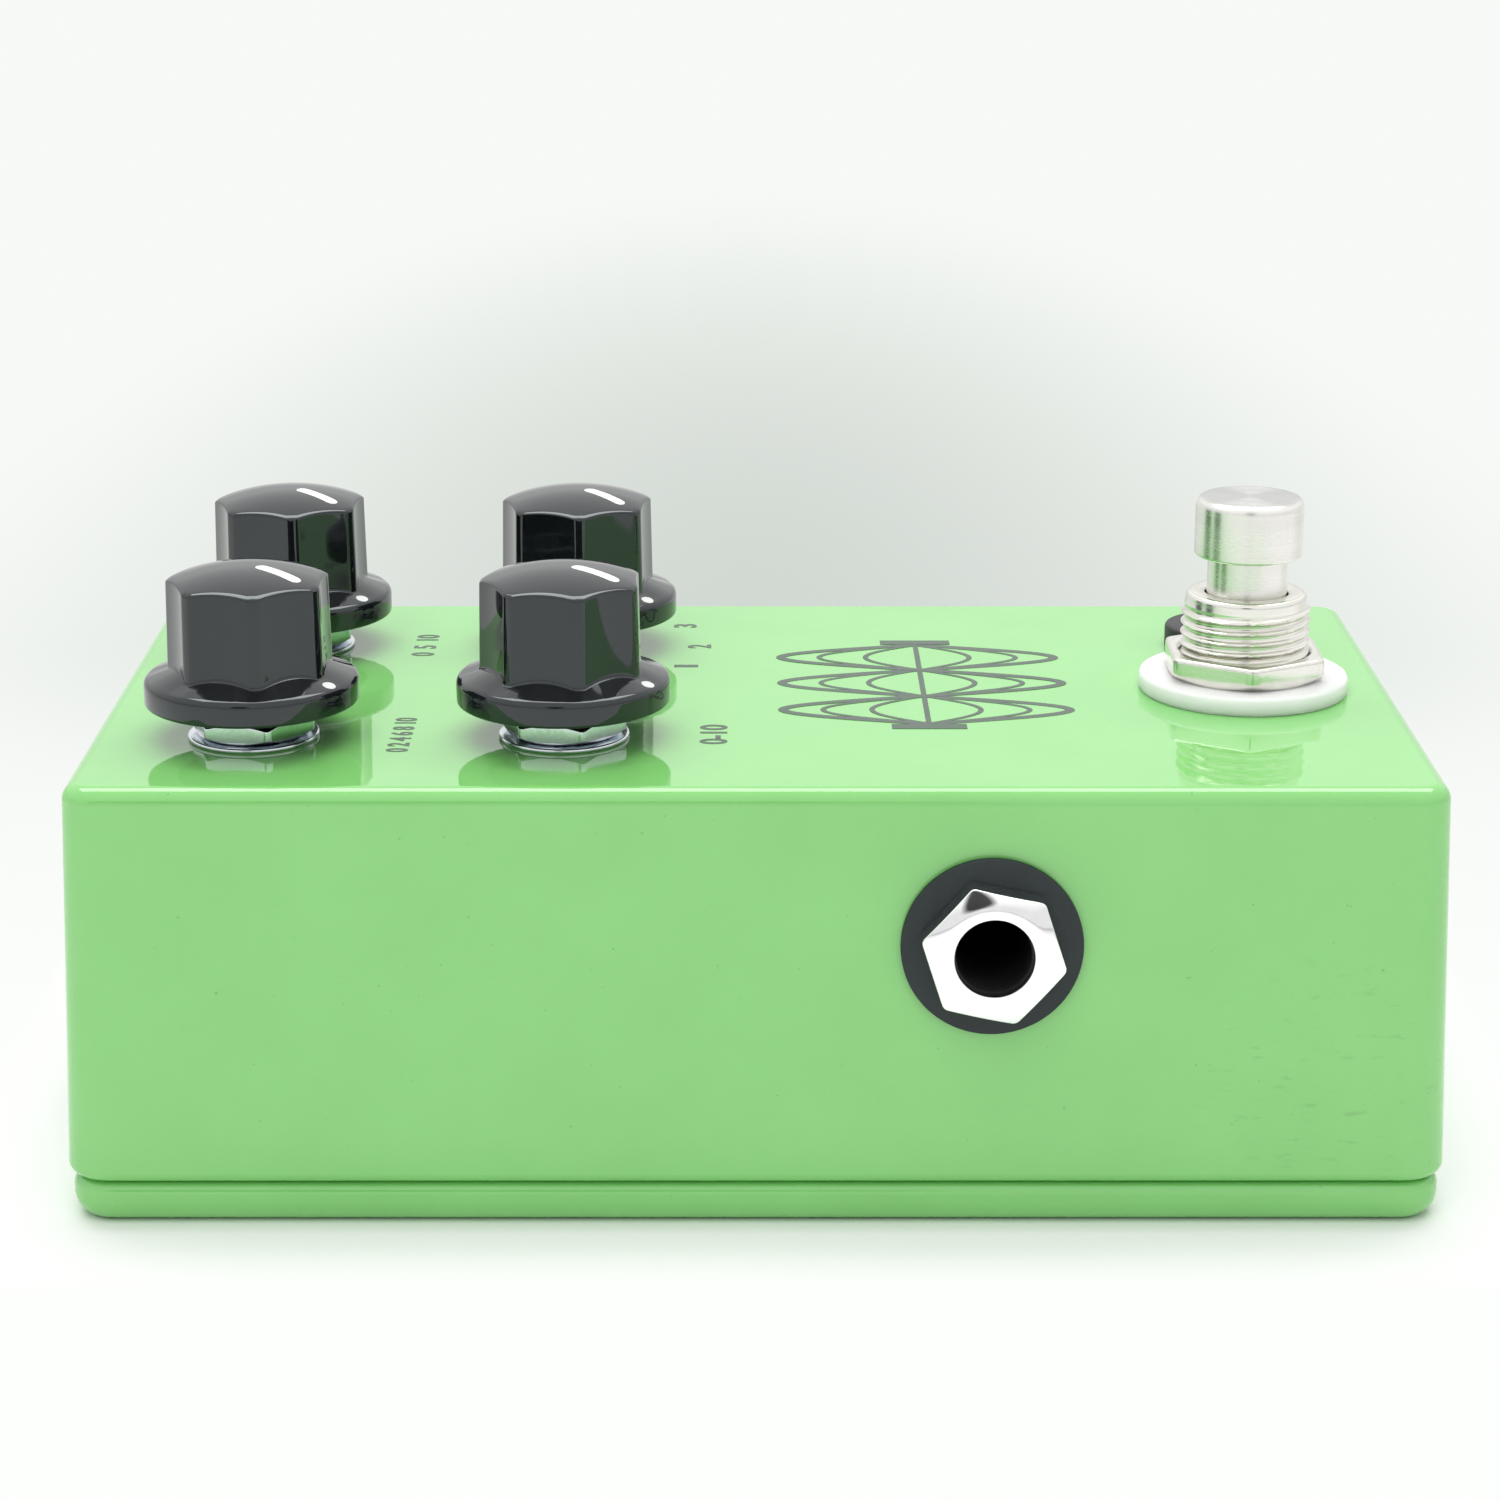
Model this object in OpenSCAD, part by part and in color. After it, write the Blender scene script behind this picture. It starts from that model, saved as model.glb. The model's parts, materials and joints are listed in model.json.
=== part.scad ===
// Guitar effects pedal in a die-cast box, with four knobs, a stomp switch and two side jacks
// Origin at the middle of the base, X along the box towards the stomp switch, Z up, millimetres

/* [Box] */
// Length of the box at its seam
box_l = 122; // [120:0.5:136]
// Width of the box at its seam
box_w = 66; // [65:0.5:80]
// Height of the box with its cover
box_h = 40; // [39.5:0.5:50]
// Height of the bottom cover
cover_h = 4.1; // [3.9:0.1:5]
// Thickness of the walls and of the top panel
wall = 2.3; // [2:0.1:2.6]
// Draft of each wall in degrees
draft = 2; // [1:0.25:2.5]
// Radius of the upright corners at the seam
corner_r = 4; // [3.6:0.1:5]
// Radius of the edge around the top panel
top_edge_r = 1.5; // [0.8:0.1:2]
// Radius of the two edges that meet at the seam
seam_edge_r = 1; // [0.4:0.1:1.2]
// Radius of the edge around the underside of the cover
foot_edge_r = 2.2; // [0.6:0.1:2.4]
// How far the cover stays inside the outline of the box
cover_inset = 0.4; // [0.2:0.1:0.8]
// Thickness of the cover floor
cover_floor = 2.2; // [1.8:0.1:2.6]
// Height of the locating lip on the cover
lip_h = 2; // [1:0.5:3]
// Thickness of the locating lip
lip_t = 1.6; // [1.2:0.1:2]

/* [Cover screws] */
// Radius of the screw bosses
boss_r = 4; // [3.6:0.1:4.4]
// Distance of the screw axes from the sides of the box
boss_inset = 6.2; // [5.8:0.1:7]
// Radius of the screw shank
screw_r = 1.7; // [1.4:0.1:1.9]
// Radius of the countersunk screw head
screw_head_r = 3.3; // [2.8:0.1:3.6]
// Length of the screw with its head
screw_l = 11; // [9:0.5:14]

/* [Knobs] */
// Distance from the far end of the box to the first knob axes
knob_end_gap = 16; // [15.8:0.2:18]
// Distance between knob axes along the box
knob_pitch_x = 27.8; // [26:0.2:29]
// Distance between knob axes across the box
knob_pitch_y = 30.8; // [30:0.2:33]
// Gap between the top panel and the knob skirt
knob_lift = 3.4; // [3:0.1:4.5]
// Height of a knob
knob_h = 12.4; // [12:0.1:16]
// Radius of the knob skirt
skirt_r = 9.55; // [9:0.05:10.5]
// Height of the skirt rim
skirt_rim_h = 2.25; // [1.8:0.05:2.8]
// Height at which the grip stands on the skirt
grip_foot_h = 2.9; // [2.9:0.1:4]
// Radius of the grip where it stands on the skirt
grip_r = 7.45; // [7.4:0.05:8]
// Radius of the grip under the dome
shoulder_r = 7.3; // [7:0.05:7.35]
// Height of the dome
dome_h = 1.4; // [1:0.1:1.8]
// Number of flats around the grip
grip_flats = 7; // [6:1:7]
// Width of a flat in degrees
grip_flat_angle = 44; // [42:1:46]
// Turn of the ridges between the flats from the pointer, in degrees
grip_flat_turn = 1; // [0:1:51]
// Radius of the brass insert
insert_r = 4.5; // [4.2:0.1:4.8]
// Radius of the grub screw
grub_r = 1.5; // [1:0.1:1.6]

/* [Controls] */
// Radius of the control shafts
shaft_r = 3; // [2.8:0.05:3.05]
// Radius of the threaded bushings
bushing_r = 3.5; // [3.45:0.05:3.9]
// Height of the bushings above the panel
bushing_h = 4.4; // [4:0.1:4.8]
// Radius of the panel washers
pot_washer_r = 5.85; // [5.5:0.05:6.4]
// Thickness of the flat washers
pot_washer_t = 0.45; // [0.4:0.05:0.8]
// Thickness of the lock washers behind the panel
lock_washer_t = 0.5; // [0.4:0.1:0.8]
// Width across the flats of the nuts
pot_nut_af = 10; // [9:0.5:11]
// Height of the nuts
pot_nut_h = 2; // [1.6:0.1:2.2]
// Turn of the nuts, in degrees from +X to their first corner
pot_nut_turn = 50; // [0:1:59]
// Thickness of the front plate of a control
plate_t = 1.4; // [1:0.1:1.8]
// Radius of the control cases
case_r = 8.4; // [8:0.1:9]
// Depth of the control cases
case_h = 8; // [7:0.5:9]
// Distance between the lugs of a control
lug_pitch = 5; // [4:0.5:5.5]
// Pointer angle of the three turning controls at rest, from +X
pot_rest = -29; // [-38:1:-25]
// Pointer angle of the selector at rest, from +X
mode_rest = -38; // [-42:1:-30]

/* [Footswitch] */
// Distance from the near end of the box to the stomp switch axis
fs_end_gap = 15.3; // [15:0.1:18]
// Radius of the stomp cap
cap_r = 5; // [4.6:0.1:5.6]
// Height of the stomp cap
cap_h = 5.5; // [4.5:0.1:6.5]
// Height of the underside of the cap above the panel
cap_lift = 13; // [12.6:0.1:15]
// Travel of the stomp switch
fs_travel = 2.8; // [2:0.1:3]
// Radius of the plunger stem
stem_r = 3.7; // [3.2:0.1:4]
// Radius of the threaded bushing
fs_thread_r = 6; // [5.8:0.1:6.4]
// Height of the threaded bushing above the panel
fs_thread_h = 9.6; // [8:0.1:9.6]
// Pitch of the thread ridges
fs_pitch = 1; // [0.6:0.05:1.25]
// Radius of the nylon washer
fs_washer_r = 9.7; // [9:0.1:10.5]
// Thickness of the nylon washer
fs_washer_t = 1.7; // [1:0.1:2]
// Width across the flats of the nuts
fs_nut_af = 14; // [13.5:0.5:15]
// Height of the outer nut
fs_nut_h = 2.3; // [1.8:0.1:2.8]
// Turn of the outer nut, in degrees from +X to its first corner
fs_nut_turn = 29; // [0:1:59]
// Width of the switch case across the box
fs_case_w = 17.2; // [16.5:0.1:18]
// Width of the switch case along the box
fs_case_l = 15.6; // [15:0.1:16.5]
// Depth of the switch case
fs_case_h = 14; // [13:0.5:15]

/* [Status light] */
// Distance from the near end of the box to the light
led_end_gap = 16.1; // [15:0.1:18]
// Distance of the light from the middle of the box
led_y = 15.6; // [15.2:0.1:18]
// Radius of the bezel head
bezel_r = 4.75; // [4.5:0.05:5]
// Height of the bezel above the panel
bezel_h = 2.2; // [1.8:0.1:2.8]
// Radius of the bezel body in the panel
bezel_body_r = 3.9; // [3.6:0.1:4.1]
// Radius of the light's lens
led_r = 2.5; // [2.2:0.1:2.6]

/* [Jacks] */
// Distance from the near end of the box to the jack axes
jack_end_gap = 40.7; // [39:0.1:42]
// Height of the jack axes
jack_z = 26.2; // [25.5:0.1:27]
// Radius of the jack washers
jack_washer_r = 7.9; // [7.4:0.1:8.6]
// Thickness of the jack washers
jack_washer_t = 0.8; // [0.5:0.1:1.2]
// Width across the flats of the jack nuts
jack_nut_af = 11.1; // [10.8:0.1:12]
// Height of the jack nuts
jack_nut_h = 3.1; // [2.6:0.1:3.6]
// Turn of the jack nuts, in degrees from level to the first corner
jack_nut_turn = 48; // [0:1:59]
// Radius of the hole in the jack nuts
jack_mouth_r = 3.46; // [3.44:0.01:3.7]
// Radius of the plug bore
plug_bore_r = 3.3; // [3.25:0.05:3.4]
// Radius of the jack thread
jack_thread_r = 4.45; // [4.3:0.05:4.5]
// Width and height of the jack bodies
jack_body_w = 16; // [14:0.5:16.5]
// Depth of the jack bodies behind the wall
jack_body_d = 25; // [24:0.5:26]

/* [Power socket] */
// Height of the power socket axis
dc_z = 15; // [14.5:0.1:15.5]
// Radius of the socket bore
dc_bore_r = 2.9; // [2.8:0.05:3.1]
// Radius of the centre pin
dc_pin_r = 1.05; // [1:0.05:1.25]
// Radius of the socket thread
dc_thread_r = 5.6; // [5.2:0.1:5.8]
// Radius of the socket body behind the wall
dc_body_r = 6.8; // [6.4:0.1:7]
// Depth of the socket body behind the wall
dc_body_d = 18; // [16:0.5:19]
// Width across the flats of the socket nut
dc_nut_af = 14; // [13:0.5:15]
// Height of the socket nut
dc_nut_h = 2.8; // [2:0.1:3.2]

/* [Board] */
// Thickness of the circuit board
board_t = 1.6; // [1:0.2:2]
// Width of the circuit board
board_w = 42; // [36:1:44]
// Gap between the control cases and the board
board_gap = 1.5; // [1:0.1:2]
// Radius of the hook-up wires
wire_r = 0.65; // [0.5:0.05:0.8]

/* [Hidden] */

// Smoothness of exact round shapes, and of the corners of the box
$fn = 64;
corner_fn = 32;

// Clearances: a turning fit, a loose fit around a thread, a pressed seat and a cut that overshoots
run_gap = 0.05;
thread_gap = 0.25;
seat_gap = 0.05;
over = 1;

// Levels and walls of the box
ceiling = box_h - wall;
wall_flat = wall / cos(draft);
inner_corner_r = 3;
lip_gap = 0.25;
boss_gap = 0.8;
screw_sink = 0.3;
screw_slot = [3.6, 0.9, 1];

// Places of the controls
knob_x1 = -box_l / 2 + knob_end_gap;
knob_x2 = knob_x1 + knob_pitch_x;
volume_at = [knob_x1, -knob_pitch_y / 2];
drive_at = [knob_x1, knob_pitch_y / 2];
tone_at = [knob_x2, -knob_pitch_y / 2];
mode_at = [knob_x2, knob_pitch_y / 2];
controls = [volume_at, drive_at, tone_at, mode_at];

// Knob
skirt_edge_r = 0.5;
shoulder_edge_r = 0.6;
knob_recess_r = 6.9;
knob_recess_h = 2.2;
bore_roof = 1.8;
knob_z = box_h + knob_lift;
grub_h = 7.4;
flat_depth = 0.5;
foot_r = grip_r - 2;
foot_rise = 1.2;
grip_h = knob_h - dome_h - grip_foot_h;
grip_lean = atan((grip_r - shoulder_r) / grip_h);
grip_flat_x = grip_r * cos(grip_flat_angle / 2);

// Control behind the panel
case_wall = 1;
case_floor = 0.8;
rotor_t = 1.2;
rotor_drop = 2;
rotor_gap = 0.8;
plate_z = ceiling - lock_washer_t - plate_t;
rotor_z = plate_z - rotor_drop - rotor_t;
case_bottom = plate_z - case_h;
lug_block = [14, 4];
lug_block_out = 1;
lug_size = [1.2, 0.6];
lug_tail = 0.8;
lug_face = case_r + lug_block_out;

// Footswitch below the panel
fs_x = box_l / 2 - fs_end_gap;
fs_lock_t = 0.6;
fs_inner_nut_h = 2;
fs_frame_t = 1;
fs_frame_top = ceiling - fs_lock_t - fs_inner_nut_h - 0.4;
fs_case_top = fs_frame_top - fs_frame_t;
fs_case_bottom = fs_case_top - fs_case_h;
fs_strap = [0.8, 12, 10];
fs_thread_depth = 0.35;
fs_cavity_r = 4.8;
collar_t = 1;
collar_r = stem_r + 0.6;
stem_tail = 0.6;
plunger_bottom = fs_case_top - 0.3 - collar_t - stem_tail;
spring_wire_r = 0.4;
spring_r = 2.8;
spring_turns = 6;
spring_steps = 14;
spring_solid_h = 2 * spring_wire_r * spring_turns + 1;
fs_cavity_h = 0.3 + collar_t + stem_tail + fs_travel + spring_solid_h;
fs_lug = [2, 0.5, 4.5];
fs_lug_pitch = 5;

// Status light
led_x = box_l / 2 - led_end_gap;
bezel_body_h = 10;
bezel_nut_af = 10;
bezel_nut_h = 2;
led_rim_r = led_r + 0.4;
led_rim_h = 1;
led_rise = 0.5;
led_lead = [0.5, 0.5, 8];
led_lead_pitch = 2.54;
led_seat = ceiling - bezel_body_h + 2;

// Jacks and power socket
jack_x = box_l / 2 - jack_end_gap;
nut_lip = 0.8;
jack_thread_end = jack_washer_t + jack_nut_h - nut_lip - 0.3;
jack_rear = 1.5;
jack_contact = [2, 0.5];
jack_contact_x = [-4.2, 1.4];
jack_contact_y = -5;
jack_tail = 2.5;
contact_slot_gap = 0.15;
contact_bump_r = 1.4;
contact_room = jack_rear + 2 * contact_bump_r + 0.7;
jack_chamber = [12, 11];
jack_chamber_y = -6.5;
jack_bore_d = jack_body_d - contact_room;
dc_bore_d = 11;
dc_flange_gap = 0.2;
dc_tail = 3;
dc_lug = [2.2, 0.5];
dc_lug_y = 4.2;
dc_lug_root = 4;

// Circuit board and what is on it
board_top = case_bottom - board_gap;
board_bottom = board_top - board_t;
board_edge = 7.5;
board_jack_gap = 3.3;
board_x1 = knob_x1 - board_edge;
board_x2 = jack_x - jack_body_w / 2 - board_jack_gap;
chip_end_gap = 14;
chip_at = [board_x2 - chip_end_gap, 0];
chip_size = [9.8, 6.4, 3.4];
chip_stand = 0.6;
chip_leg = [0.5, 0.3];
chip_leg_low = 1.4;
chip_leg_h = chip_size[2] + chip_stand - chip_leg_low;
chip_pitch = 2.54;
electrolytic_r = 2.5;
electrolytic_h = 7;
far_electrolytics = [[14.8, 15], [14.8, -15]];
near_electrolytics = [[-10, 9], [-10, -9]];
film_size = [7.2, 2.6, 6.5];
far_films = [[17.8, -9]];
near_films = [[-18, 13], [-18, -13], [-10, 16], [-10, -16]];
resistor_r = 1.15;
resistor_l = 6.3;
resistor_lead_r = 0.3;
resistor_span = 10.2;
resistor_rows = [-17, -13.5, -10, 10, 13.5, 17];
resistor_x = 6.8;

// Hook-up wires: a straight stub at each end, and a low run between the two
wire_gap = 0.1;
wire_stub = 2.5;
wire_sag = 5;
pad_gap = 4;
pad_x = board_x2 - pad_gap;
pad_z = board_bottom - wire_gap;
switch_lug = [fs_x - fs_lug_pitch, fs_case_bottom - fs_lug[2] - wire_gap];
switch_wires = [for (y = [-fs_lug_pitch, 0, fs_lug_pitch]) hang(
    [pad_x, y, pad_z], [switch_lug[0], y, switch_lug[1]], switch_lug[1] - wire_sag)];
jack_end = behind_jack(jack_contact_y - jack_contact[1] / 2 - wire_gap, wall + jack_body_d + jack_tail / 2);
jack_pad_y = 10.3;
jack_wires = [for (side = [-1, 1], x = jack_contact_x) hang(
    [jack_x - side * x, side * jack_end[0], jack_end[1]],
    [pad_x, side * (jack_pad_y - side * x / 2), pad_z], jack_end[1] - wire_sag)];
led_wires = [for (s = [-1, 1]) let (y = led_y + s * led_lead_pitch / 2) hang(
    [led_x, y, led_seat - led_lead[2] - wire_gap], [pad_x, y, pad_z], jack_z - jack_body_w / 2 - wire_sag)];
dc_pad_x = 14.3;
dc_pad_y = 3;
dc_wires = [for (s = [0, 1]) let (end = behind_dc(s * dc_lug_y, wall + dc_body_d + dc_tail + wire_gap)) rise(
    [end[0], 0, end[1]], [knob_x1 + dc_pad_x, (2 * s - 1) * dc_pad_y, pad_z])];
wire_sides = 8;
wire_ref = [0.32, 0.86, 0.4];

function polar(angle) = [cos(angle), sin(angle)];
function arc(centre, r, from, to, n = 6) = [for (i = [0:n]) centre + r * polar(from + (to - from) * i / n)];
function half_l(z) = box_l / 2 - (z - cover_h) * tan(draft);
function half_w(z) = box_w / 2 - (z - cover_h) * tan(draft);
function hex_r(flats) = flats / 2 / cos(30);
function unit(v) = v / norm(v);

// A point a share of the way from a to b, at height z
function along(a, b, t, z) = [a[0] + (b[0] - a[0]) * t, a[1] + (b[1] - a[1]) * t, z];

// Route of a wire that leaves both its ends downwards and hangs at the height low between them
function hang(a, b, low) = [
    a, along(a, b, 0, a[2] - wire_stub), along(a, b, 0.05, (a[2] - wire_stub + low) / 2),
    along(a, b, 0.2, low), along(a, b, 0.8, low),
    along(a, b, 0.95, (b[2] - wire_stub + low) / 2), along(a, b, 1, b[2] - wire_stub), b];

// Route of a wire that leaves a along X and comes up to b from below
function rise(a, b) = [
    a, a + [wire_stub, 0, 0], along(a, b, 0.7, (a[2] + b[2]) / 2), along(a, b, 1, b[2] - wire_stub), b];

// Where a point of a jack or of the power socket lies: its place across its wall, and its height
function behind_jack(y, depth) = [
    half_w(jack_z) - y * sin(draft) - depth * cos(draft), jack_z + y * cos(draft) - depth * sin(draft)];
function behind_dc(y, depth) = [
    -half_l(dc_z) + y * sin(draft) + depth * cos(draft), dc_z + y * cos(draft) - depth * sin(draft)];

// Points of a smooth curve through a route, a few to each stretch
function bend(a, b, c, d, t) = 0.5 * (2 * b + (c - a) * t + (2 * a - 5 * b + 4 * c - d) * t ^ 2
    + (3 * b - a - 3 * c + d) * t ^ 3);
function smooth(route, n = 2) = let (last = len(route) - 1) concat(
    [for (i = [0:last - 1], j = [0:n - 1]) bend(
        route[max(i - 1, 0)], route[i], route[i + 1], route[min(i + 2, last)], j / n)],
    [route[last]]);

// A closed tube of radius r along a list of points
module tube_along(points, r, sides) {
    last = len(points) - 1;
    rings = [for (i = [0:last])
        let (
            ahead = unit(points[min(i + 1, last)] - points[max(i - 1, 0)]),
            side = unit(cross(ahead, wire_ref)),
            up = cross(side, ahead)
        )
        for (k = [0:sides - 1]) points[i] + r * (side * cos(360 * k / sides) + up * sin(360 * k / sides))];
    walls = [for (i = [0:last - 1], k = [0:sides - 1]) [
        i * sides + k, i * sides + (k + 1) % sides,
        (i + 1) * sides + (k + 1) % sides, (i + 1) * sides + k]];
    near_end = [[for (k = [0:sides - 1]) sides - 1 - k]];
    far_end = [[for (k = [0:sides - 1]) last * sides + k]];
    polyhedron(rings, concat(near_end, walls, far_end), convexity = 8);
}

module ring(outer, inner, h) {
    difference() {
        cylinder(r = outer, h = h);
        translate([0, 0, -over]) cylinder(r = inner, h = h + 2 * over);
    }
}

// A hexagon nut with a bevel on its upper corners
module hex_nut(flats, bore, h, bevel = 0.5) {
    difference() {
        intersection() {
            cylinder(r = hex_r(flats), h = h, $fn = 6);
            rotate_extrude() polygon([
                [0, 0], [hex_r(flats) + 0.1, 0], [hex_r(flats) + 0.1, h - bevel],
                [flats / 2 - 0.1, h], [0, h]]);
        }
        translate([0, 0, -over]) cylinder(r = bore, h = h + 2 * over);
    }
}

module each_corner(x, y) {
    for (sx = [-1, 1], sy = [-1, 1]) translate([sx * x, sy * y, 0]) face_corner(sx, sy) children();
}

// Turns a shape made for the corner at +X +Y to face another corner
module face_corner(sx, sy) {
    mirror([sx < 0 ? 1 : 0, 0, 0]) mirror([0, sy < 0 ? 1 : 0, 0]) children();
}

module each_control() {
    for (at = controls) translate(at) children();
}

// Frame of a wall: local Z points out of the wall, local Y up, origin on the outer face
module on_wall(turn, at) {
    translate(at) rotate([0, 0, turn]) rotate([90 - draft, 0, 0]) children();
}

module at_output() { on_wall(0, [jack_x, -half_w(jack_z), jack_z]) children(); }
module at_input() { on_wall(180, [jack_x, half_w(jack_z), jack_z]) children(); }
module at_dc() { on_wall(-90, [-half_l(dc_z), 0, dc_z]) children(); }

// Corner of a box as a turned column with rounded lower and upper edges
module corner_column(r, h, lean, low_r, high_r) {
    low_x = r - low_r * tan(lean) - low_r;
    high_x = r - (h - high_r) * tan(lean) - high_r;
    rotate_extrude($fn = corner_fn) polygon(concat(
        [[0, 0]],
        arc([low_x, low_r], low_r, -90, 0, 4),
        arc([high_x, h - high_r], high_r, 0, 90, 4),
        [[0, h]]));
}

// Block over a screw that grows into the corner of the box
module boss(h) {
    cylinder(r = boss_r, h = h);
    translate([0, -boss_r * 0.9, 0]) cube([boss_inset - 1, boss_r * 1.8, h]);
    translate([-boss_r * 0.9, 0, 0]) cube([boss_r * 1.8, boss_inset - 1, h]);
}

module box_outside() {
    hull() each_corner(box_l / 2 - corner_r, box_w / 2 - corner_r)
        translate([0, 0, cover_h])
        corner_column(corner_r, box_h - cover_h, draft, seam_edge_r, top_edge_r);
}

module box_inside() {
    low = cover_h - over;
    r = inner_corner_r;
    h = ceiling - low;
    hull() each_corner(box_l / 2 - wall_flat - r, box_w / 2 - wall_flat - r)
        translate([0, 0, low])
        cylinder(r1 = r + over * tan(draft), r2 = r + (over - h) * tan(draft), h = h, $fn = corner_fn);
}

module enclosure_body() {
    color("#7fce74") difference() {
        box_outside();
        difference() {
            box_inside();
            each_corner(box_l / 2 - boss_inset, box_w / 2 - boss_inset)
                translate([0, 0, cover_h]) boss(box_h);
        }
        each_corner(box_l / 2 - boss_inset, box_w / 2 - boss_inset)
            translate([0, 0, cover_h - over]) cylinder(r = screw_r + seat_gap, h = screw_l);
        translate([0, 0, ceiling - over]) {
            each_control() cylinder(r = bushing_r + thread_gap, h = wall + 2 * over);
            translate([fs_x, 0]) cylinder(r = fs_thread_r + thread_gap, h = wall + 2 * over);
            translate([led_x, led_y]) cylinder(r = bezel_body_r + seat_gap, h = wall + 2 * over);
        }
        at_output() wall_hole(jack_thread_r + thread_gap);
        at_input() wall_hole(jack_thread_r + thread_gap);
        at_dc() wall_hole(dc_thread_r + thread_gap);
    }
}

module wall_hole(r) {
    translate([0, 0, -wall - over]) cylinder(r = r, h = wall + 2 * over);
}

module bottom_cover() {
    r = corner_r - cover_inset;
    lip_x = box_l / 2 - wall_flat - lip_gap;
    lip_y = box_w / 2 - wall_flat - lip_gap;
    clear = boss_inset + boss_r + boss_gap;
    bar_x = box_l / 2 - clear;
    bar_y = box_w / 2 - clear;
    head_h = screw_head_r - screw_r;
    color("#72c467") difference() {
        union() {
            hull() each_corner(box_l / 2 - cover_inset - r, box_w / 2 - cover_inset - r)
                corner_column(r, cover_h, 0, foot_edge_r, seam_edge_r);
            for (s = [-1, 1]) {
                translate([-bar_x, s * (lip_y - lip_t / 2) - lip_t / 2, cover_floor])
                    cube([2 * bar_x, lip_t, cover_h + lip_h - cover_floor]);
                translate([s * (lip_x - lip_t / 2) - lip_t / 2, -bar_y, cover_floor])
                    cube([lip_t, 2 * bar_y, cover_h + lip_h - cover_floor]);
            }
        }
        translate([-bar_x, lip_t - lip_y, cover_floor])
            cube([2 * bar_x, 2 * (lip_y - lip_t), cover_h]);
        translate([lip_t - lip_x, -bar_y, cover_floor])
            cube([2 * (lip_x - lip_t), 2 * bar_y, cover_h]);
        each_corner(box_l / 2 - boss_inset, box_w / 2 - boss_inset) {
            translate([0, 0, -over]) cylinder(r = screw_r + thread_gap, h = cover_h + 2 * over);
            translate([0, 0, -over]) cylinder(r = screw_head_r + thread_gap, h = screw_sink + over);
            translate([0, 0, screw_sink])
                cylinder(r1 = screw_head_r + thread_gap, r2 = screw_r + thread_gap, h = head_h);
        }
    }
}

module cover_screws() {
    head_h = screw_head_r - screw_r;
    color("#b9bcc0") each_corner(box_l / 2 - boss_inset, box_w / 2 - boss_inset)
        translate([0, 0, screw_sink]) difference() {
            rotate_extrude() polygon([
                [0, 0], [screw_head_r, 0], [screw_r, head_h], [screw_r, screw_l - 1],
                [screw_r - 0.6, screw_l - screw_sink], [0, screw_l - screw_sink]]);
            for (turn = [45, 135]) rotate([0, 0, turn])
                translate([-screw_slot[0] / 2, -screw_slot[1] / 2, -over])
                cube([screw_slot[0], screw_slot[1], screw_slot[2] + over]);
        }
}

// Rim of the knob and the cone that rises from it to the grip
module knob_skirt() {
    rotate_extrude() polygon(concat(
        [[0, 0]],
        [[skirt_r - 0.3, 0], [skirt_r, 0.3]],
        arc([skirt_r - skirt_edge_r, skirt_rim_h - skirt_edge_r], skirt_edge_r, 0, 75, 4),
        [[grip_r, grip_foot_h], [foot_r, grip_foot_h + foot_rise], [0, grip_foot_h + foot_rise]]));
}

// Seven-sided grip with a domed top
module knob_grip() {
    dome_r = (shoulder_r ^ 2 + dome_h ^ 2) / (2 * dome_h);
    edge = shoulder_r - shoulder_edge_r;
    top = knob_h - dome_r;
    difference() {
        rotate_extrude() polygon(concat(
            [[0, skirt_rim_h - skirt_edge_r], [grip_r, skirt_rim_h - skirt_edge_r], [grip_r, grip_foot_h]],
            [[shoulder_r, knob_h - dome_h - shoulder_edge_r * 0.6]],
            arc([0, top], dome_r, acos(edge / dome_r), 90, 8)));
        for (i = [0:grip_flats - 1]) rotate([0, 0, grip_flat_turn + 360 * (i + 0.5) / grip_flats])
            translate([grip_flat_x, -grip_r, grip_foot_h]) rotate([0, -grip_lean, 0])
            translate([0, 0, -grip_foot_h]) cube([grip_r, 2 * grip_r, knob_h + 2 * over]);
    }
}

// Knob with its pointer towards local +X, its grub screw on the far side
module knob(at, turn) {
    bore_top = knob_h - bore_roof;
    color("#15171a") translate([at[0], at[1], knob_z]) rotate([0, 0, turn]) difference() {
        union() {
            knob_skirt();
            knob_grip();
        }
        translate([0, 0, -over]) cylinder(r = knob_recess_r, h = knob_recess_h + over);
        cylinder(r = insert_r + seat_gap, h = bore_top);
        translate([0, 0, grub_h]) rotate([0, -90, 0]) cylinder(r = grub_r + seat_gap, h = skirt_r);
    }
}

module insert(at, turn) {
    h = knob_h - bore_roof - knob_recess_h;
    color("#c9a24a") translate([at[0], at[1], knob_z]) rotate([0, 0, turn]) difference() {
        translate([0, 0, knob_recess_h]) cylinder(r = insert_r, h = h);
        cylinder(r = shaft_r + run_gap, h = knob_h);
        translate([0, 0, grub_h]) rotate([0, -90, 0]) cylinder(r = grub_r + seat_gap, h = skirt_r);
    }
}

// Headless screw from the flat of the shaft to just under the surface of the grip
module grub_screw(at, turn) {
    inner = shaft_r - flat_depth + seat_gap;
    l = grip_flat_x - inner - 1;
    color("#6d7176") translate([at[0], at[1], knob_z]) rotate([0, 0, turn])
        translate([-inner, 0, grub_h]) rotate([0, -90, 0]) difference() {
            cylinder(r = grub_r, h = l);
            translate([0, 0, l - 1]) cylinder(r = grub_r * 0.55, h = 2, $fn = 6);
        }
}

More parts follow.
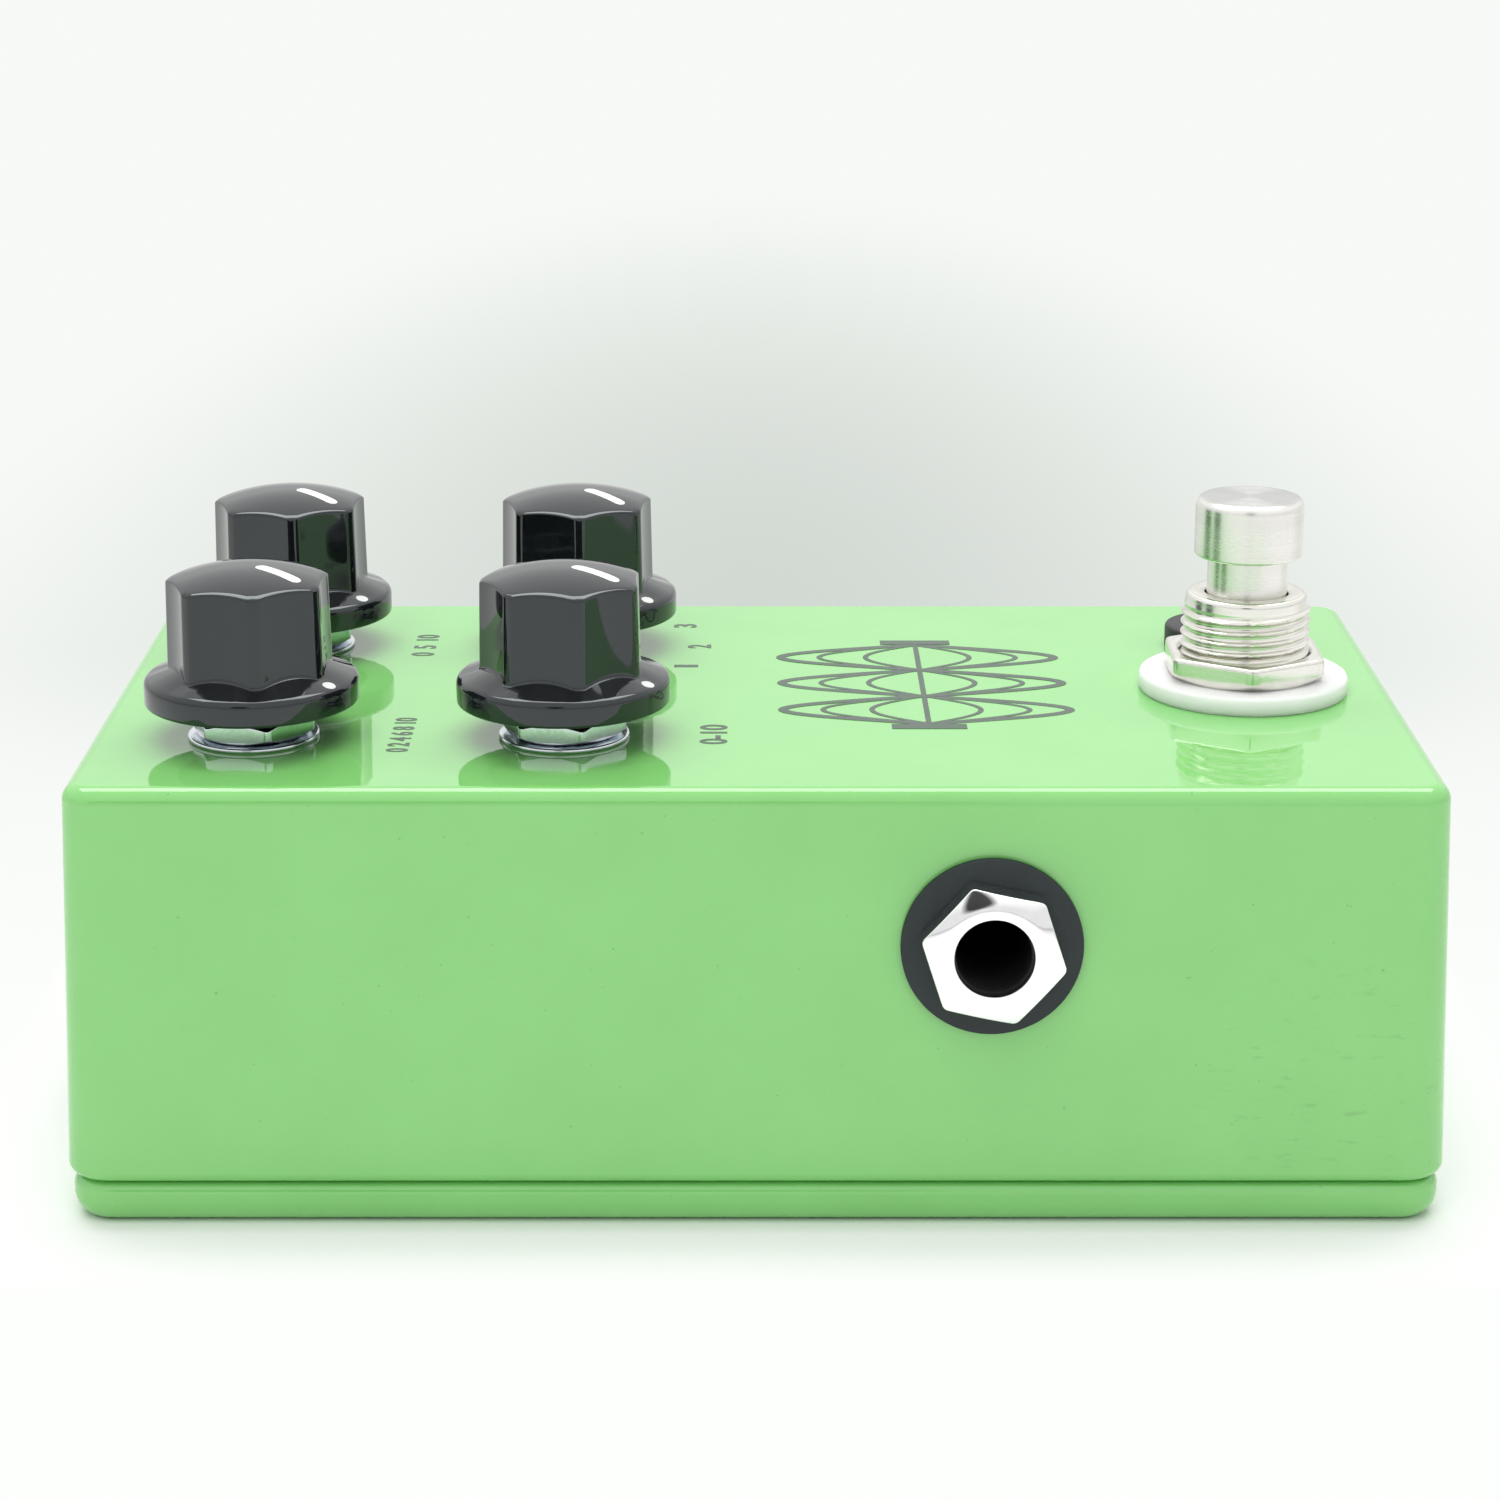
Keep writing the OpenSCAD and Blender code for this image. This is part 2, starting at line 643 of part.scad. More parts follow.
// Shaft with a flat for the grub screw, carrying the rotor and its wiper
module shaft(at, turn) {
    top = knob_z + knob_h - bore_roof - 0.2;
    rotor_r = case_r - case_wall - rotor_gap;
    color("#a9adb2") translate([at[0], at[1], 0]) rotate([0, 0, turn]) {
        difference() {
            union() {
                translate([0, 0, rotor_z]) cylinder(r = shaft_r, h = top - rotor_z);
                translate([0, 0, rotor_z]) cylinder(r = rotor_r, h = rotor_t);
                translate([2, -1, rotor_z - 0.6]) cube([rotor_r - 2.6, 2, 0.8]);
            }
            translate([-shaft_r - 1, -shaft_r - 1, knob_z + knob_recess_h])
                cube([flat_depth + 1, 2 * shaft_r + 2, knob_h]);
        }
    }
}

// Threaded bushing and the front plate that it is pressed into
module bushing(at) {
    top = box_h + bushing_h - plate_z;
    color("#b4b9be") translate([at[0], at[1], plate_z]) difference() {
        union() {
            cylinder(r = case_r, h = plate_t);
            rotate_extrude() polygon([
                [0, plate_t - 0.2], [bushing_r, plate_t - 0.2], [bushing_r, top - 0.4],
                [bushing_r - 0.25, top], [0, top]]);
        }
        translate([0, 0, -over]) cylinder(r = shaft_r + run_gap, h = top + 2 * over);
    }
}

// Cup that closes the control, with a block on its inner side that carries the lugs
module control_case(at, tint) {
    inward = at[1] < 0 ? 1 : -1;
    color(tint) translate([at[0], at[1], case_bottom]) difference() {
        union() {
            cylinder(r = case_r, h = case_h);
            translate([-lug_block[0] / 2, min(0, inward * lug_face), case_h - lug_block[1]])
                cube([lug_block[0], lug_face, lug_block[1]]);
        }
        translate([0, 0, case_floor]) cylinder(r = case_r - case_wall, h = case_h);
    }
}

// Lugs of all four controls, standing on the lug blocks and passing through the board
module control_lugs() {
    tail = board_bottom - lug_tail;
    h = plate_z - 1 - tail;
    color("#c8ccd0") for (at = controls, i = [-1:1]) {
        inward = at[1] < 0 ? 1 : -1;
        translate([at[0] + i * lug_pitch, at[1] + inward * (lug_face + lug_size[1] / 2), tail + h / 2])
            cube([lug_size[0], lug_size[1], h], center = true);
    }
}

module control_flat_washers() {
    color("#aab4bd") each_control() translate([0, 0, box_h])
        ring(pot_washer_r, bushing_r + thread_gap, pot_washer_t);
}

// Spring washers with a slit across one side, between the front plates and the panel
module control_lock_washers() {
    color("#a3adb6") each_control() translate([0, 0, plate_z + plate_t]) difference() {
        ring(pot_washer_r, bushing_r + thread_gap, lock_washer_t);
        rotate([0, 0, 40]) translate([0, -0.3, -over])
            cube([pot_washer_r + over, 0.6, lock_washer_t + 2 * over]);
    }
}

module control_nuts() {
    color("#b5bec6") each_control() translate([0, 0, box_h + pot_washer_t])
        rotate([0, 0, pot_nut_turn]) hex_nut(pot_nut_af, bushing_r + seat_gap, pot_nut_h);
}

// Stomp cap, stem and stop collar in one turned piece
module footswitch_plunger() {
    cap_bottom = box_h + cap_lift;
    cap_top = cap_bottom + cap_h;
    collar_top = fs_case_top - 0.3;
    color("#d5d3cd") translate([fs_x, 0, 0]) rotate_extrude() polygon(concat(
        [[0, plunger_bottom], [stem_r - 0.4, plunger_bottom], [stem_r - 0.4, collar_top - collar_t]],
        [[collar_r, collar_top - collar_t], [collar_r, collar_top], [stem_r, collar_top]],
        [[stem_r, cap_bottom]],
        arc([cap_r - 0.3, cap_bottom + 0.3], 0.3, -90, 0, 3),
        arc([cap_r - 0.9, cap_top - 0.9], 0.9, 0, 90, 5),
        [[0, cap_top]]));
}

// Return spring between the stem and the floor of the case
module footswitch_spring() {
    low = fs_case_top - fs_cavity_h + spring_wire_r + seat_gap;
    high = plunger_bottom - spring_wire_r - seat_gap;
    steps = spring_turns * spring_steps;
    points = [for (i = [0:steps]) [
        spring_r * cos(360 * i / spring_steps), spring_r * sin(360 * i / spring_steps),
        low + (high - low) * i / steps]];
    color("#9fa4a8") translate([fs_x, 0, 0]) spring_tube(points);
}

// The coil's sections stay upright, so they never meet the axis of the coil
module spring_tube(points) {
    last = len(points) - 1;
    sides = 6;
    step = 360 / sides;
    rings = [for (p = points)
        let (out = unit([p[0], p[1], 0]))
        for (k = [0:sides - 1]) p + spring_wire_r * (out * cos(step * k) + [0, 0, sin(step * k)])];
    walls = [for (i = [0:last - 1], k = [0:sides - 1]) [
        i * sides + (k + 1) % sides, i * sides + k,
        (i + 1) * sides + k, (i + 1) * sides + (k + 1) % sides]];
    near_end = [[for (k = [0:sides - 1]) k]];
    far_end = [[for (k = [0:sides - 1]) last * sides + sides - 1 - k]];
    polyhedron(rings, concat(near_end, walls, far_end), convexity = 12);
}

// Threaded bushing with ring ridges and a rounded mouth
module footswitch_bushing() {
    top = box_h + fs_thread_h;
    mouth_r = 1;
    ridges = floor((top - mouth_r - fs_frame_top) / fs_pitch);
    foot = top - mouth_r - ridges * fs_pitch;
    bore = stem_r + run_gap;
    color("#cfcec8") translate([fs_x, 0, 0]) rotate_extrude() polygon(concat(
        [[bore, fs_frame_top], [fs_thread_r - fs_thread_depth, fs_frame_top]],
        [for (i = [0:ridges - 1]) each [
            [fs_thread_r - fs_thread_depth, foot + i * fs_pitch],
            [fs_thread_r, foot + (i + 0.5) * fs_pitch]]],
        arc([fs_thread_r - fs_thread_depth - mouth_r, top - mouth_r], mouth_r, 0, 90, 4),
        [[bore, top]]));
}

module footswitch_washer() {
    color("#f2f1ec") translate([fs_x, 0, box_h]) difference() {
        rotate_extrude() polygon([
            [0, 0], [fs_washer_r, 0], [fs_washer_r, fs_washer_t - 0.3],
            [fs_washer_r - 0.3, fs_washer_t], [0, fs_washer_t]]);
        translate([0, 0, -over]) cylinder(r = fs_thread_r + thread_gap, h = fs_washer_t + 2 * over);
    }
}

// Outer nut, with its bevelled side down
module footswitch_nut() {
    color("#cdcbc3") translate([fs_x, 0, box_h + fs_washer_t + fs_nut_h]) rotate([0, 0, fs_nut_turn])
        mirror([0, 0, 1]) hex_nut(fs_nut_af, fs_thread_r + seat_gap, fs_nut_h, 0.7);
}

module footswitch_lock_washer() {
    color("#a8adb1") translate([fs_x, 0, ceiling - fs_lock_t])
        ring(fs_nut_af / 2 + 0.6, fs_thread_r + thread_gap, fs_lock_t);
}

module footswitch_inner_nut() {
    color("#b9bcbf") translate([fs_x, 0, ceiling - fs_lock_t]) mirror([0, 0, 1])
        hex_nut(fs_nut_af, fs_thread_r + seat_gap, fs_inner_nut_h);
}

// Steel bracket that joins the bushing to the case
module footswitch_frame() {
    strap_x = fs_case_l / 2;
    color("#b3b7ba") translate([fs_x, 0, fs_case_top]) difference() {
        union() {
            translate([-strap_x - fs_strap[0], -fs_case_w / 2, 0])
                cube([2 * (strap_x + fs_strap[0]), fs_case_w, fs_frame_t]);
            for (s = [-1, 1]) translate([s * (strap_x + fs_strap[0] / 2), 0, (fs_frame_t - fs_strap[2]) / 2])
                cube([fs_strap[0], fs_strap[1], fs_strap[2] + fs_frame_t], center = true);
        }
        translate([0, 0, -over]) cylinder(r = stem_r + thread_gap, h = fs_frame_t + 2 * over);
    }
}

module footswitch_case() {
    color("#28406e") translate([fs_x, 0, fs_case_bottom]) difference() {
        translate([-fs_case_l / 2, -fs_case_w / 2, 0]) cube([fs_case_l, fs_case_w, fs_case_h]);
        translate([0, 0, fs_case_h - fs_cavity_h]) cylinder(r = fs_cavity_r, h = fs_cavity_h + over);
    }
}

module footswitch_lugs() {
    color("#c9c3ae") for (i = [-1:1], j = [-1:1])
        translate([fs_x + i * fs_lug_pitch, j * fs_lug_pitch, fs_case_bottom - fs_lug[2] / 2])
        cube(fs_lug, center = true);
}

module led_bezel() {
    low = ceiling - bezel_body_h;
    top = box_h + bezel_h;
    color("#1b1c1e") translate([led_x, led_y, 0]) rotate_extrude() polygon(concat(
        [[led_r + seat_gap, led_seat], [led_rim_r + seat_gap, led_seat], [led_rim_r + seat_gap, low]],
        [[bezel_body_r, low], [bezel_body_r, box_h], [bezel_r, box_h]],
        arc([bezel_r - 0.5, top - 0.5], 0.5, 0, 90, 4),
        [[led_r + 0.8, top], [led_r + seat_gap, top - 0.7]]));
}

// Clear lamp with its rim and two leads
module led_lamp() {
    dome = box_h + bezel_h + led_rise - led_r;
    color("#dfe6ea") translate([led_x, led_y, 0]) {
        rotate_extrude() polygon(concat(
            [[0, led_seat - led_rim_h], [led_rim_r, led_seat - led_rim_h], [led_rim_r, led_seat - seat_gap]],
            [[led_r, led_seat - seat_gap]],
            arc([0, dome], led_r, 0, 90, 8)));
        for (s = [-1, 1])
            translate([-led_lead[0] / 2, s * led_lead_pitch / 2 - led_lead[1] / 2, led_seat - led_lead[2]])
            cube([led_lead[0], led_lead[1], led_lead[2] - led_rim_h + 0.2]);
    }
}

module led_bezel_nut() {
    color("#202124") translate([led_x, led_y, ceiling]) mirror([0, 0, 1])
        hex_nut(bezel_nut_af, bezel_body_r + seat_gap, bezel_nut_h);
}

// Jack in the frame of its wall: body behind the wall, thread through it
module jack_body() {
    w = jack_body_w;
    back = -wall - jack_body_d;
    color("#1d1e20") difference() {
        union() {
            translate([-w / 2, -w / 2, back]) cube([w, w, jack_body_d - seat_gap]);
            translate([0, 0, back + over])
                cylinder(r = jack_thread_r, h = jack_thread_end - back - over);
        }
        translate([0, 0, -wall - jack_bore_d])
            cylinder(r = plug_bore_r, h = jack_bore_d + wall + 2 * jack_nut_h);
        translate([-jack_chamber[0] / 2, jack_chamber_y, back + jack_rear])
            cube([jack_chamber[0], jack_chamber[1], contact_room - jack_rear + 0.01]);
        for (x = jack_contact_x) translate([x, jack_contact_y, back - over])
            contact_bar(over + jack_rear + 1, contact_slot_gap);
    }
}

// Flat spring strip of a jack along local Z, with room around it if asked
module contact_bar(l, room = 0) {
    translate([-jack_contact[0] / 2 - room, -jack_contact[1] / 2 - room, 0])
        cube([jack_contact[0] + 2 * room, jack_contact[1] + 2 * room, l]);
}

// Tip and ground springs, with solder tails behind the body that pass those of the jack opposite
module jack_contacts() {
    back = -wall - jack_body_d;
    l = contact_room + jack_tail - 0.5;
    color("#cfc9a8") for (x = jack_contact_x) translate([x, jack_contact_y, back - jack_tail]) {
        contact_bar(l);
        translate([0, 0, l - contact_bump_r]) intersection() {
            rotate([0, 90, 0]) cylinder(r = contact_bump_r, h = jack_contact[0], center = true);
            translate([-jack_contact[0] / 2, 0, -contact_bump_r])
                cube([jack_contact[0], contact_bump_r, 2 * contact_bump_r]);
        }
    }
}

module jack_washer() {
    color("#232426") ring(jack_washer_r, jack_thread_r + thread_gap, jack_washer_t);
}

// Cap nut: a bevelled hexagon with a plain mouth in front of its thread
module jack_nut() {
    color("#d8dadc") translate([0, 0, jack_washer_t]) rotate([0, 0, jack_nut_turn]) difference() {
        hex_nut(jack_nut_af, jack_mouth_r, jack_nut_h, 0.6);
        translate([0, 0, -over]) cylinder(r = jack_thread_r + seat_gap, h = jack_nut_h - nut_lip + over);
    }
}

// Power socket in the frame of its wall
module dc_socket_body() {
    back = -wall - dc_body_d;
    front = dc_nut_h + 0.6;
    color("#1a1b1d") difference() {
        union() {
            translate([0, 0, back]) cylinder(r = dc_body_r, h = dc_body_d - dc_flange_gap);
            translate([0, 0, back + over]) cylinder(r = dc_thread_r, h = front - back - over);
        }
        translate([0, 0, front - dc_bore_d]) cylinder(r = dc_bore_r, h = dc_bore_d + over);
        translate([0, 0, back - over]) cylinder(r = dc_pin_r + seat_gap, h = dc_body_d + wall + 2 * over);
        translate([0, dc_lug_y, back - over]) dc_lug_bar(dc_lug_root + over, contact_slot_gap);
    }
}

module dc_lug_bar(l, room = 0) {
    translate([-dc_lug[0] / 2 - room, -dc_lug[1] / 2 - room, 0])
        cube([dc_lug[0] + 2 * room, dc_lug[1] + 2 * room, l]);
}

module dc_socket_nut() {
    color("#2a2b2d") hex_nut(dc_nut_af, dc_thread_r + seat_gap, dc_nut_h);
}

// Centre pin with its tail, and the lug of the sleeve spring
module dc_socket_contacts() {
    back = -wall - dc_body_d;
    tip = dc_nut_h - 0.6;
    color("#c7c2ad") {
        translate([0, 0, back - dc_tail]) cylinder(r = dc_pin_r, h = tip - back + dc_tail - 0.5);
        translate([0, 0, tip - 0.5]) cylinder(r1 = dc_pin_r, r2 = dc_pin_r - 0.5, h = 0.5);
        translate([0, dc_lug_y, back - dc_tail]) dc_lug_bar(dc_tail + dc_lug_root - 0.2);
    }
}

module circuit_board() {
    room = 0.1;
    color("#1f6b4a") difference() {
        translate([board_x1, -board_w / 2, board_bottom]) cube([board_x2 - board_x1, board_w, board_t]);
        for (at = controls, i = [-1:1]) {
            inward = at[1] < 0 ? 1 : -1;
            slot_y = at[1] + inward * (lug_face + lug_size[1] / 2);
            translate([at[0] + i * lug_pitch, slot_y, board_bottom + board_t / 2])
                cube([lug_size[0] + 2 * room, lug_size[1] + 2 * room, board_t + 2 * over], center = true);
        }
    }
}

// Dual amplifier in a plug-in package, hung under the board on its legs
module amplifier_chip() {
    low = board_bottom - chip_stand - chip_size[2];
    color("#242527") translate([chip_at[0], chip_at[1], low]) {
        translate([-chip_size[0] / 2, -chip_size[1] / 2, 0]) cube(chip_size);
        for (s = [-1, 1], i = [-1.5:1.5])
            translate([i * chip_pitch, s * (chip_size[1] + chip_leg[1]) / 2, chip_leg_low + chip_leg_h / 2])
            cube([chip_leg[0], chip_leg[1], chip_leg_h], center = true);
    }
}

// Round and box-shaped capacitors under the board, placed from the first knobs or from the near end
module capacitors() {
    color("#2c3f73") translate([0, 0, board_bottom]) {
        translate([knob_x1, 0]) capacitor_group(far_electrolytics, far_films);
        translate([board_x2, 0]) capacitor_group(near_electrolytics, near_films);
    }
}

module capacitor_group(electrolytics, films) {
    for (at = electrolytics) translate([at[0], at[1], -electrolytic_h]) rotate_extrude() polygon([
        [0, 0], [electrolytic_r - 0.3, 0], [electrolytic_r, 0.3], [electrolytic_r, electrolytic_h - 1],
        [electrolytic_r - 0.25, electrolytic_h - 0.8], [electrolytic_r, electrolytic_h - 0.6],
        [electrolytic_r, electrolytic_h], [0, electrolytic_h]]);
    for (at = films) translate([at[0], at[1], -film_size[2] / 2]) cube(film_size, center = true);
}

// Resistors lying under the board, each with its two bent leads
module resistors() {
    drop = resistor_r + 0.1;
    reach = resistor_span / 2;
    color("#cdb487") for (y = resistor_rows) translate([knob_x1 + resistor_x, y, board_bottom - drop]) {
        translate([-resistor_l / 2, 0, 0]) rotate([0, 90, 0]) cylinder(r = resistor_r, h = resistor_l);
        translate([-reach, 0, 0]) rotate([0, 90, 0]) cylinder(r = resistor_lead_r, h = resistor_span);
        for (s = [-1, 1]) translate([s * (reach - resistor_lead_r * 1.5), 0, 0])
            cylinder(r = resistor_lead_r * 0.9, h = drop);
    }
}

module hookup_wires() {
    color("#c33b30") for (route = concat(switch_wires, jack_wires, led_wires, dc_wires))
        tube_along(smooth(route), wire_r, wire_sides);
}

enclosure_body();
bottom_cover();
cover_screws();
knob(volume_at, pot_rest);  // volume_knob
insert(volume_at, pot_rest);  // volume_insert
grub_screw(volume_at, pot_rest);  // volume_grub_screw
shaft(volume_at, pot_rest);  // volume_shaft
bushing(volume_at);  // volume_bushing
control_case(volume_at, "#8f9499");  // volume_case
knob(drive_at, pot_rest);  // drive_knob
insert(drive_at, pot_rest);  // drive_insert
grub_screw(drive_at, pot_rest);  // drive_grub_screw
shaft(drive_at, pot_rest);  // drive_shaft
bushing(drive_at);  // drive_bushing
control_case(drive_at, "#8f9499");  // drive_case
knob(tone_at, pot_rest);  // tone_knob
insert(tone_at, pot_rest);  // tone_insert
grub_screw(tone_at, pot_rest);  // tone_grub_screw
shaft(tone_at, pot_rest);  // tone_shaft
bushing(tone_at);  // tone_bushing
control_case(tone_at, "#8f9499");  // tone_case
knob(mode_at, mode_rest);  // mode_knob
insert(mode_at, mode_rest);  // mode_insert
grub_screw(mode_at, mode_rest);  // mode_grub_screw
shaft(mode_at, mode_rest);  // mode_shaft
bushing(mode_at);  // mode_bushing
control_case(mode_at, "#33373c");  // mode_case
control_lugs();
control_nuts();
control_lock_washers();
control_flat_washers();
footswitch_plunger();
footswitch_spring();
footswitch_bushing();
footswitch_nut();
footswitch_washer();
footswitch_inner_nut();
footswitch_lock_washer();
footswitch_frame();
footswitch_case();
footswitch_lugs();
led_bezel();
led_lamp();
led_bezel_nut();
at_output() jack_body();  // output_jack_body
at_output() jack_nut();  // output_jack_nut
at_output() jack_washer();  // output_jack_washer
at_output() jack_contacts();  // output_jack_contacts
at_input() jack_body();  // input_jack_body
at_input() jack_nut();  // input_jack_nut
at_input() jack_washer();  // input_jack_washer
at_input() jack_contacts();  // input_jack_contacts
at_dc() dc_socket_body();
at_dc() dc_socket_nut();
at_dc() dc_socket_contacts();
circuit_board();
amplifier_chip();
capacitors();
resistors();
hookup_wires();
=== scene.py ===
# %% [markdown]
# # A guitar effects pedal, from CAD frame to portrait
#
# The real object is a small cast box with four knobs, a stomp switch, a status light and a jack in each
# long side. The CAD model already says how big everything is and what moves. This lesson gives it the look
# of the real thing: surfaces worked out with numpy, procedural finishes and soft studio light.
#
# The frame comes first, so that every later size can be read from it.

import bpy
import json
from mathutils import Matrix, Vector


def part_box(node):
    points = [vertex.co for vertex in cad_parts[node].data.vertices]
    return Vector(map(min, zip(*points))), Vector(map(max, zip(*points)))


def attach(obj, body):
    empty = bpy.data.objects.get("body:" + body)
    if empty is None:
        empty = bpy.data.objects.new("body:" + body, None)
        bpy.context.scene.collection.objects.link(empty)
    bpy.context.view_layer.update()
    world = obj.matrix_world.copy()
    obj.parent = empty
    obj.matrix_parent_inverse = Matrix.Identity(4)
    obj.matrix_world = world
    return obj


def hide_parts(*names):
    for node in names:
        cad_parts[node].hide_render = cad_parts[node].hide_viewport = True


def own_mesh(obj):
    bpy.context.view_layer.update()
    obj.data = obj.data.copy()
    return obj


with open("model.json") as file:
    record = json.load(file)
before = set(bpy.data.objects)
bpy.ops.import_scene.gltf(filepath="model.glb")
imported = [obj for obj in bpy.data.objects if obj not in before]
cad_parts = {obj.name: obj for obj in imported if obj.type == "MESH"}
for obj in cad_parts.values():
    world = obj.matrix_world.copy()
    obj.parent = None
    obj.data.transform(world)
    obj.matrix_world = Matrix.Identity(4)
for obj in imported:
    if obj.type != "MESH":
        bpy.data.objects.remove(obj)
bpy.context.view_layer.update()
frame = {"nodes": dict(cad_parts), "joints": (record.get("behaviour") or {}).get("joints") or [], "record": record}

# %% [markdown]
# The scene is in metres, but a pedal is easier to think about in millimetres. So shapes are worked out in
# millimetres and turned into metres when they go into a mesh. The CAD boxes and the joints give the places.

# %% Units and places
import json

import bmesh
import bpy
import numpy as np
from mathutils import Matrix
from mathutils.geometry import delaunay_2d_cdt

mm = 0.001
scene = bpy.context.scene
joints = {joint["name"]: joint for joint in frame["joints"]}
mounts = {mount["name"]: mount for mount in frame["record"]["mounts"]}


def box_mm(node):
    """Lowest and highest corner of a CAD node, in millimetres."""
    return [np.array(corner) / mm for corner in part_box(node)]


def middle_mm(node):
    """The middle of a CAD node's box, in millimetres."""
    low, high = box_mm(node)
    return (low + high) / 2


def heights_mm(node):
    """Height of the lowest and of the highest point of a CAD node, in millimetres."""
    low, high = box_mm(node)
    return low[2], high[2]


panel_z = heights_mm("enclosure_body")[1]
controls = ("volume", "drive", "tone", "mode")
control_places = {name: np.array(joints[name + "_turn"]["pos_m"]) / mm * (1, 1, 0) for name in controls}
print("panel height:", panel_z, "controls:", control_places)

# %% [markdown]
# ## Tools for surfaces
#
# Nearly every piece here is a grid of points: rings of columns, one ring after another. A lathe part, a
# hexagon nut and a many-sided knob differ only in how radius and height change along the grid. One function
# makes the quads of such a grid, and another puts the points into a mesh. The mesh is welded, which closes
# the poles, and its normals are turned outwards. A Weighted Normal modifier keeps big flats looking flat
# beside their small rounded edges.

# %% Grids and meshes
def ring_quads(rows, columns, start=0):
    """Quads of a grid of rings: column j of ring i is joined to column j + 1 and to ring i + 1."""
    i, j = np.mgrid[0 : rows - 1, 0:columns]
    k = (j + 1) % columns
    quads = np.stack([i * columns + j, i * columns + k, (i + 1) * columns + k, (i + 1) * columns + j], -1)
    return quads.reshape(-1, 4) + start


def skin(*grids):
    """Points and faces of several grids of rings, numbered one after the other."""
    starts = np.cumsum([0] + [grid.shape[0] * grid.shape[1] for grid in grids])
    quads = np.vstack([ring_quads(*grid.shape[:2], start) for grid, start in zip(grids, starts)])
    return np.vstack([grid.reshape(-1, 3) for grid in grids]), quads.tolist()


def capped(*grids):
    """As skin, with the first and last ring of each grid closed by a flat face."""
    points, faces = skin(*grids)
    start = 0
    for rows, columns in (grid.shape[:2] for grid in grids):
        faces += [list(range(start, start + columns))]
        faces += [list(range(start + (rows - 1) * columns, start + rows * columns))]
        start += rows * columns
    return points, faces


def put(name, points, faces, finish, body="chassis", slot=None, replaces=(), sharp=40):
    """A new piece from points in millimetres, welded, smooth but for edges above the sharp angle."""
    mesh = bpy.data.meshes.new(name)
    mesh.from_pydata((np.asarray(points) * mm).tolist(), [], faces)
    work = bmesh.new()
    work.from_mesh(mesh)
    bmesh.ops.remove_doubles(work, verts=work.verts, dist=0.0003 * mm)
    bmesh.ops.recalc_face_normals(work, faces=work.faces)
    work.to_mesh(mesh)
    work.free()
    mesh.materials.append(finish)
    mesh.shade_smooth()
    mesh.set_sharp_from_angle(angle=np.radians(sharp))
    piece = bpy.data.objects.new(name, mesh)
    scene.collection.objects.link(piece)
    piece.modifiers.new("flat_normals", "WEIGHTED_NORMAL").keep_sharp = True
    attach(piece, body)
    if replaces:
        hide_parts(*replaces)
    print(name, "has", len(mesh.polygons), "faces")
    return piece


print("three rings of four columns have", len(ring_quads(3, 4)), "quads")

# %% [markdown]
# Turned parts start from an outline in the plane of radius and height. Real edges are never quite sharp,
# and it is the small round on an edge that catches the light. `soften` rounds each corner of an outline by
# a length of its own. Radius, height and length may change from column to column, which is what later makes
# a hexagon or a many-sided grip out of a lathe part.

# %% Outlines and turned parts
def bend(a, corner, b, s):
    """A round from a to b: (1 - s)^2 a + 2 s (1 - s) corner + s^2 b, for s from 0 to 1."""
    return (1 - s) ** 2 * a + 2 * s * (1 - s) * corner + s**2 * b


def soften(corners, closed=True, steps=5):
    """Round the corners of an outline given as (radius, height, length) for each corner.

    The round at corner P goes from A to B, which lie at length from P on its two sides, or half way along
    a side that is too short. The result holds radius and height by row.
    """
    columns = max(np.size(value) for corner in corners for value in corner)
    values = np.array([[np.broadcast_to(value, columns) for value in corner] for corner in corners], float)
    point, length = values[:, :2], values[:, 2:]
    sides = np.stack([np.roll(point, 1, 0), np.roll(point, -1, 0)]) - point
    lengths = np.maximum(np.linalg.norm(sides, axis=2, keepdims=True), 1e-9)
    a, b = point + sides * np.minimum(length / lengths, 0.5)
    s = np.linspace(0, 1, steps)[:, None, None, None]
    rows = bend(a, point, b, s).swapaxes(0, 1).reshape(-1, 2, columns)
    return np.concatenate([rows, rows[:1]]) if closed else rows


def carried(rows, degrees):
    """Carry an outline round the Z axis: x = r cos a, y = r sin a and z = height, for each angle a."""
    angle = np.radians(degrees)
    radius, height = np.broadcast_to(rows, (len(rows), 2, len(angle))).swapaxes(0, 1)
    return np.stack([radius * np.cos(angle), radius * np.sin(angle), height], -1)


def turned(rows, sides=96, turn=0.0):
    """An outline carried round in even steps, starting at turn degrees."""
    return carried(rows, turn + np.linspace(0, 360, sides, endpoint=False))


square = [(1, 0, 0.1), (2, 0, 0.1), (2, 1, 0.1), (1, 1, 0.1)]
print("a softened square outline has", len(soften(square)), "rows")

# %% [markdown]
# A hexagon nut is a turned part whose radius depends on the angle. Across a flat the radius is half the
# width across flats, divided by the cosine of the angle from the middle of that flat. A cone of 30 degrees
# then takes the corners off at the bottom and at the top, which leaves the curved edges seen on real nuts.

# %% Nuts
nut_columns, corner_share = 144, 0.985


def hexagon(flats):
    """Radius of a hexagon by column, with a little taken off its sharp corners."""
    from_flat = np.radians(np.linspace(0, 360, nut_columns, endpoint=False) % 60 - 30)
    return np.minimum(flats / 2 / np.cos(from_flat), corner_share * flats / np.sqrt(3))


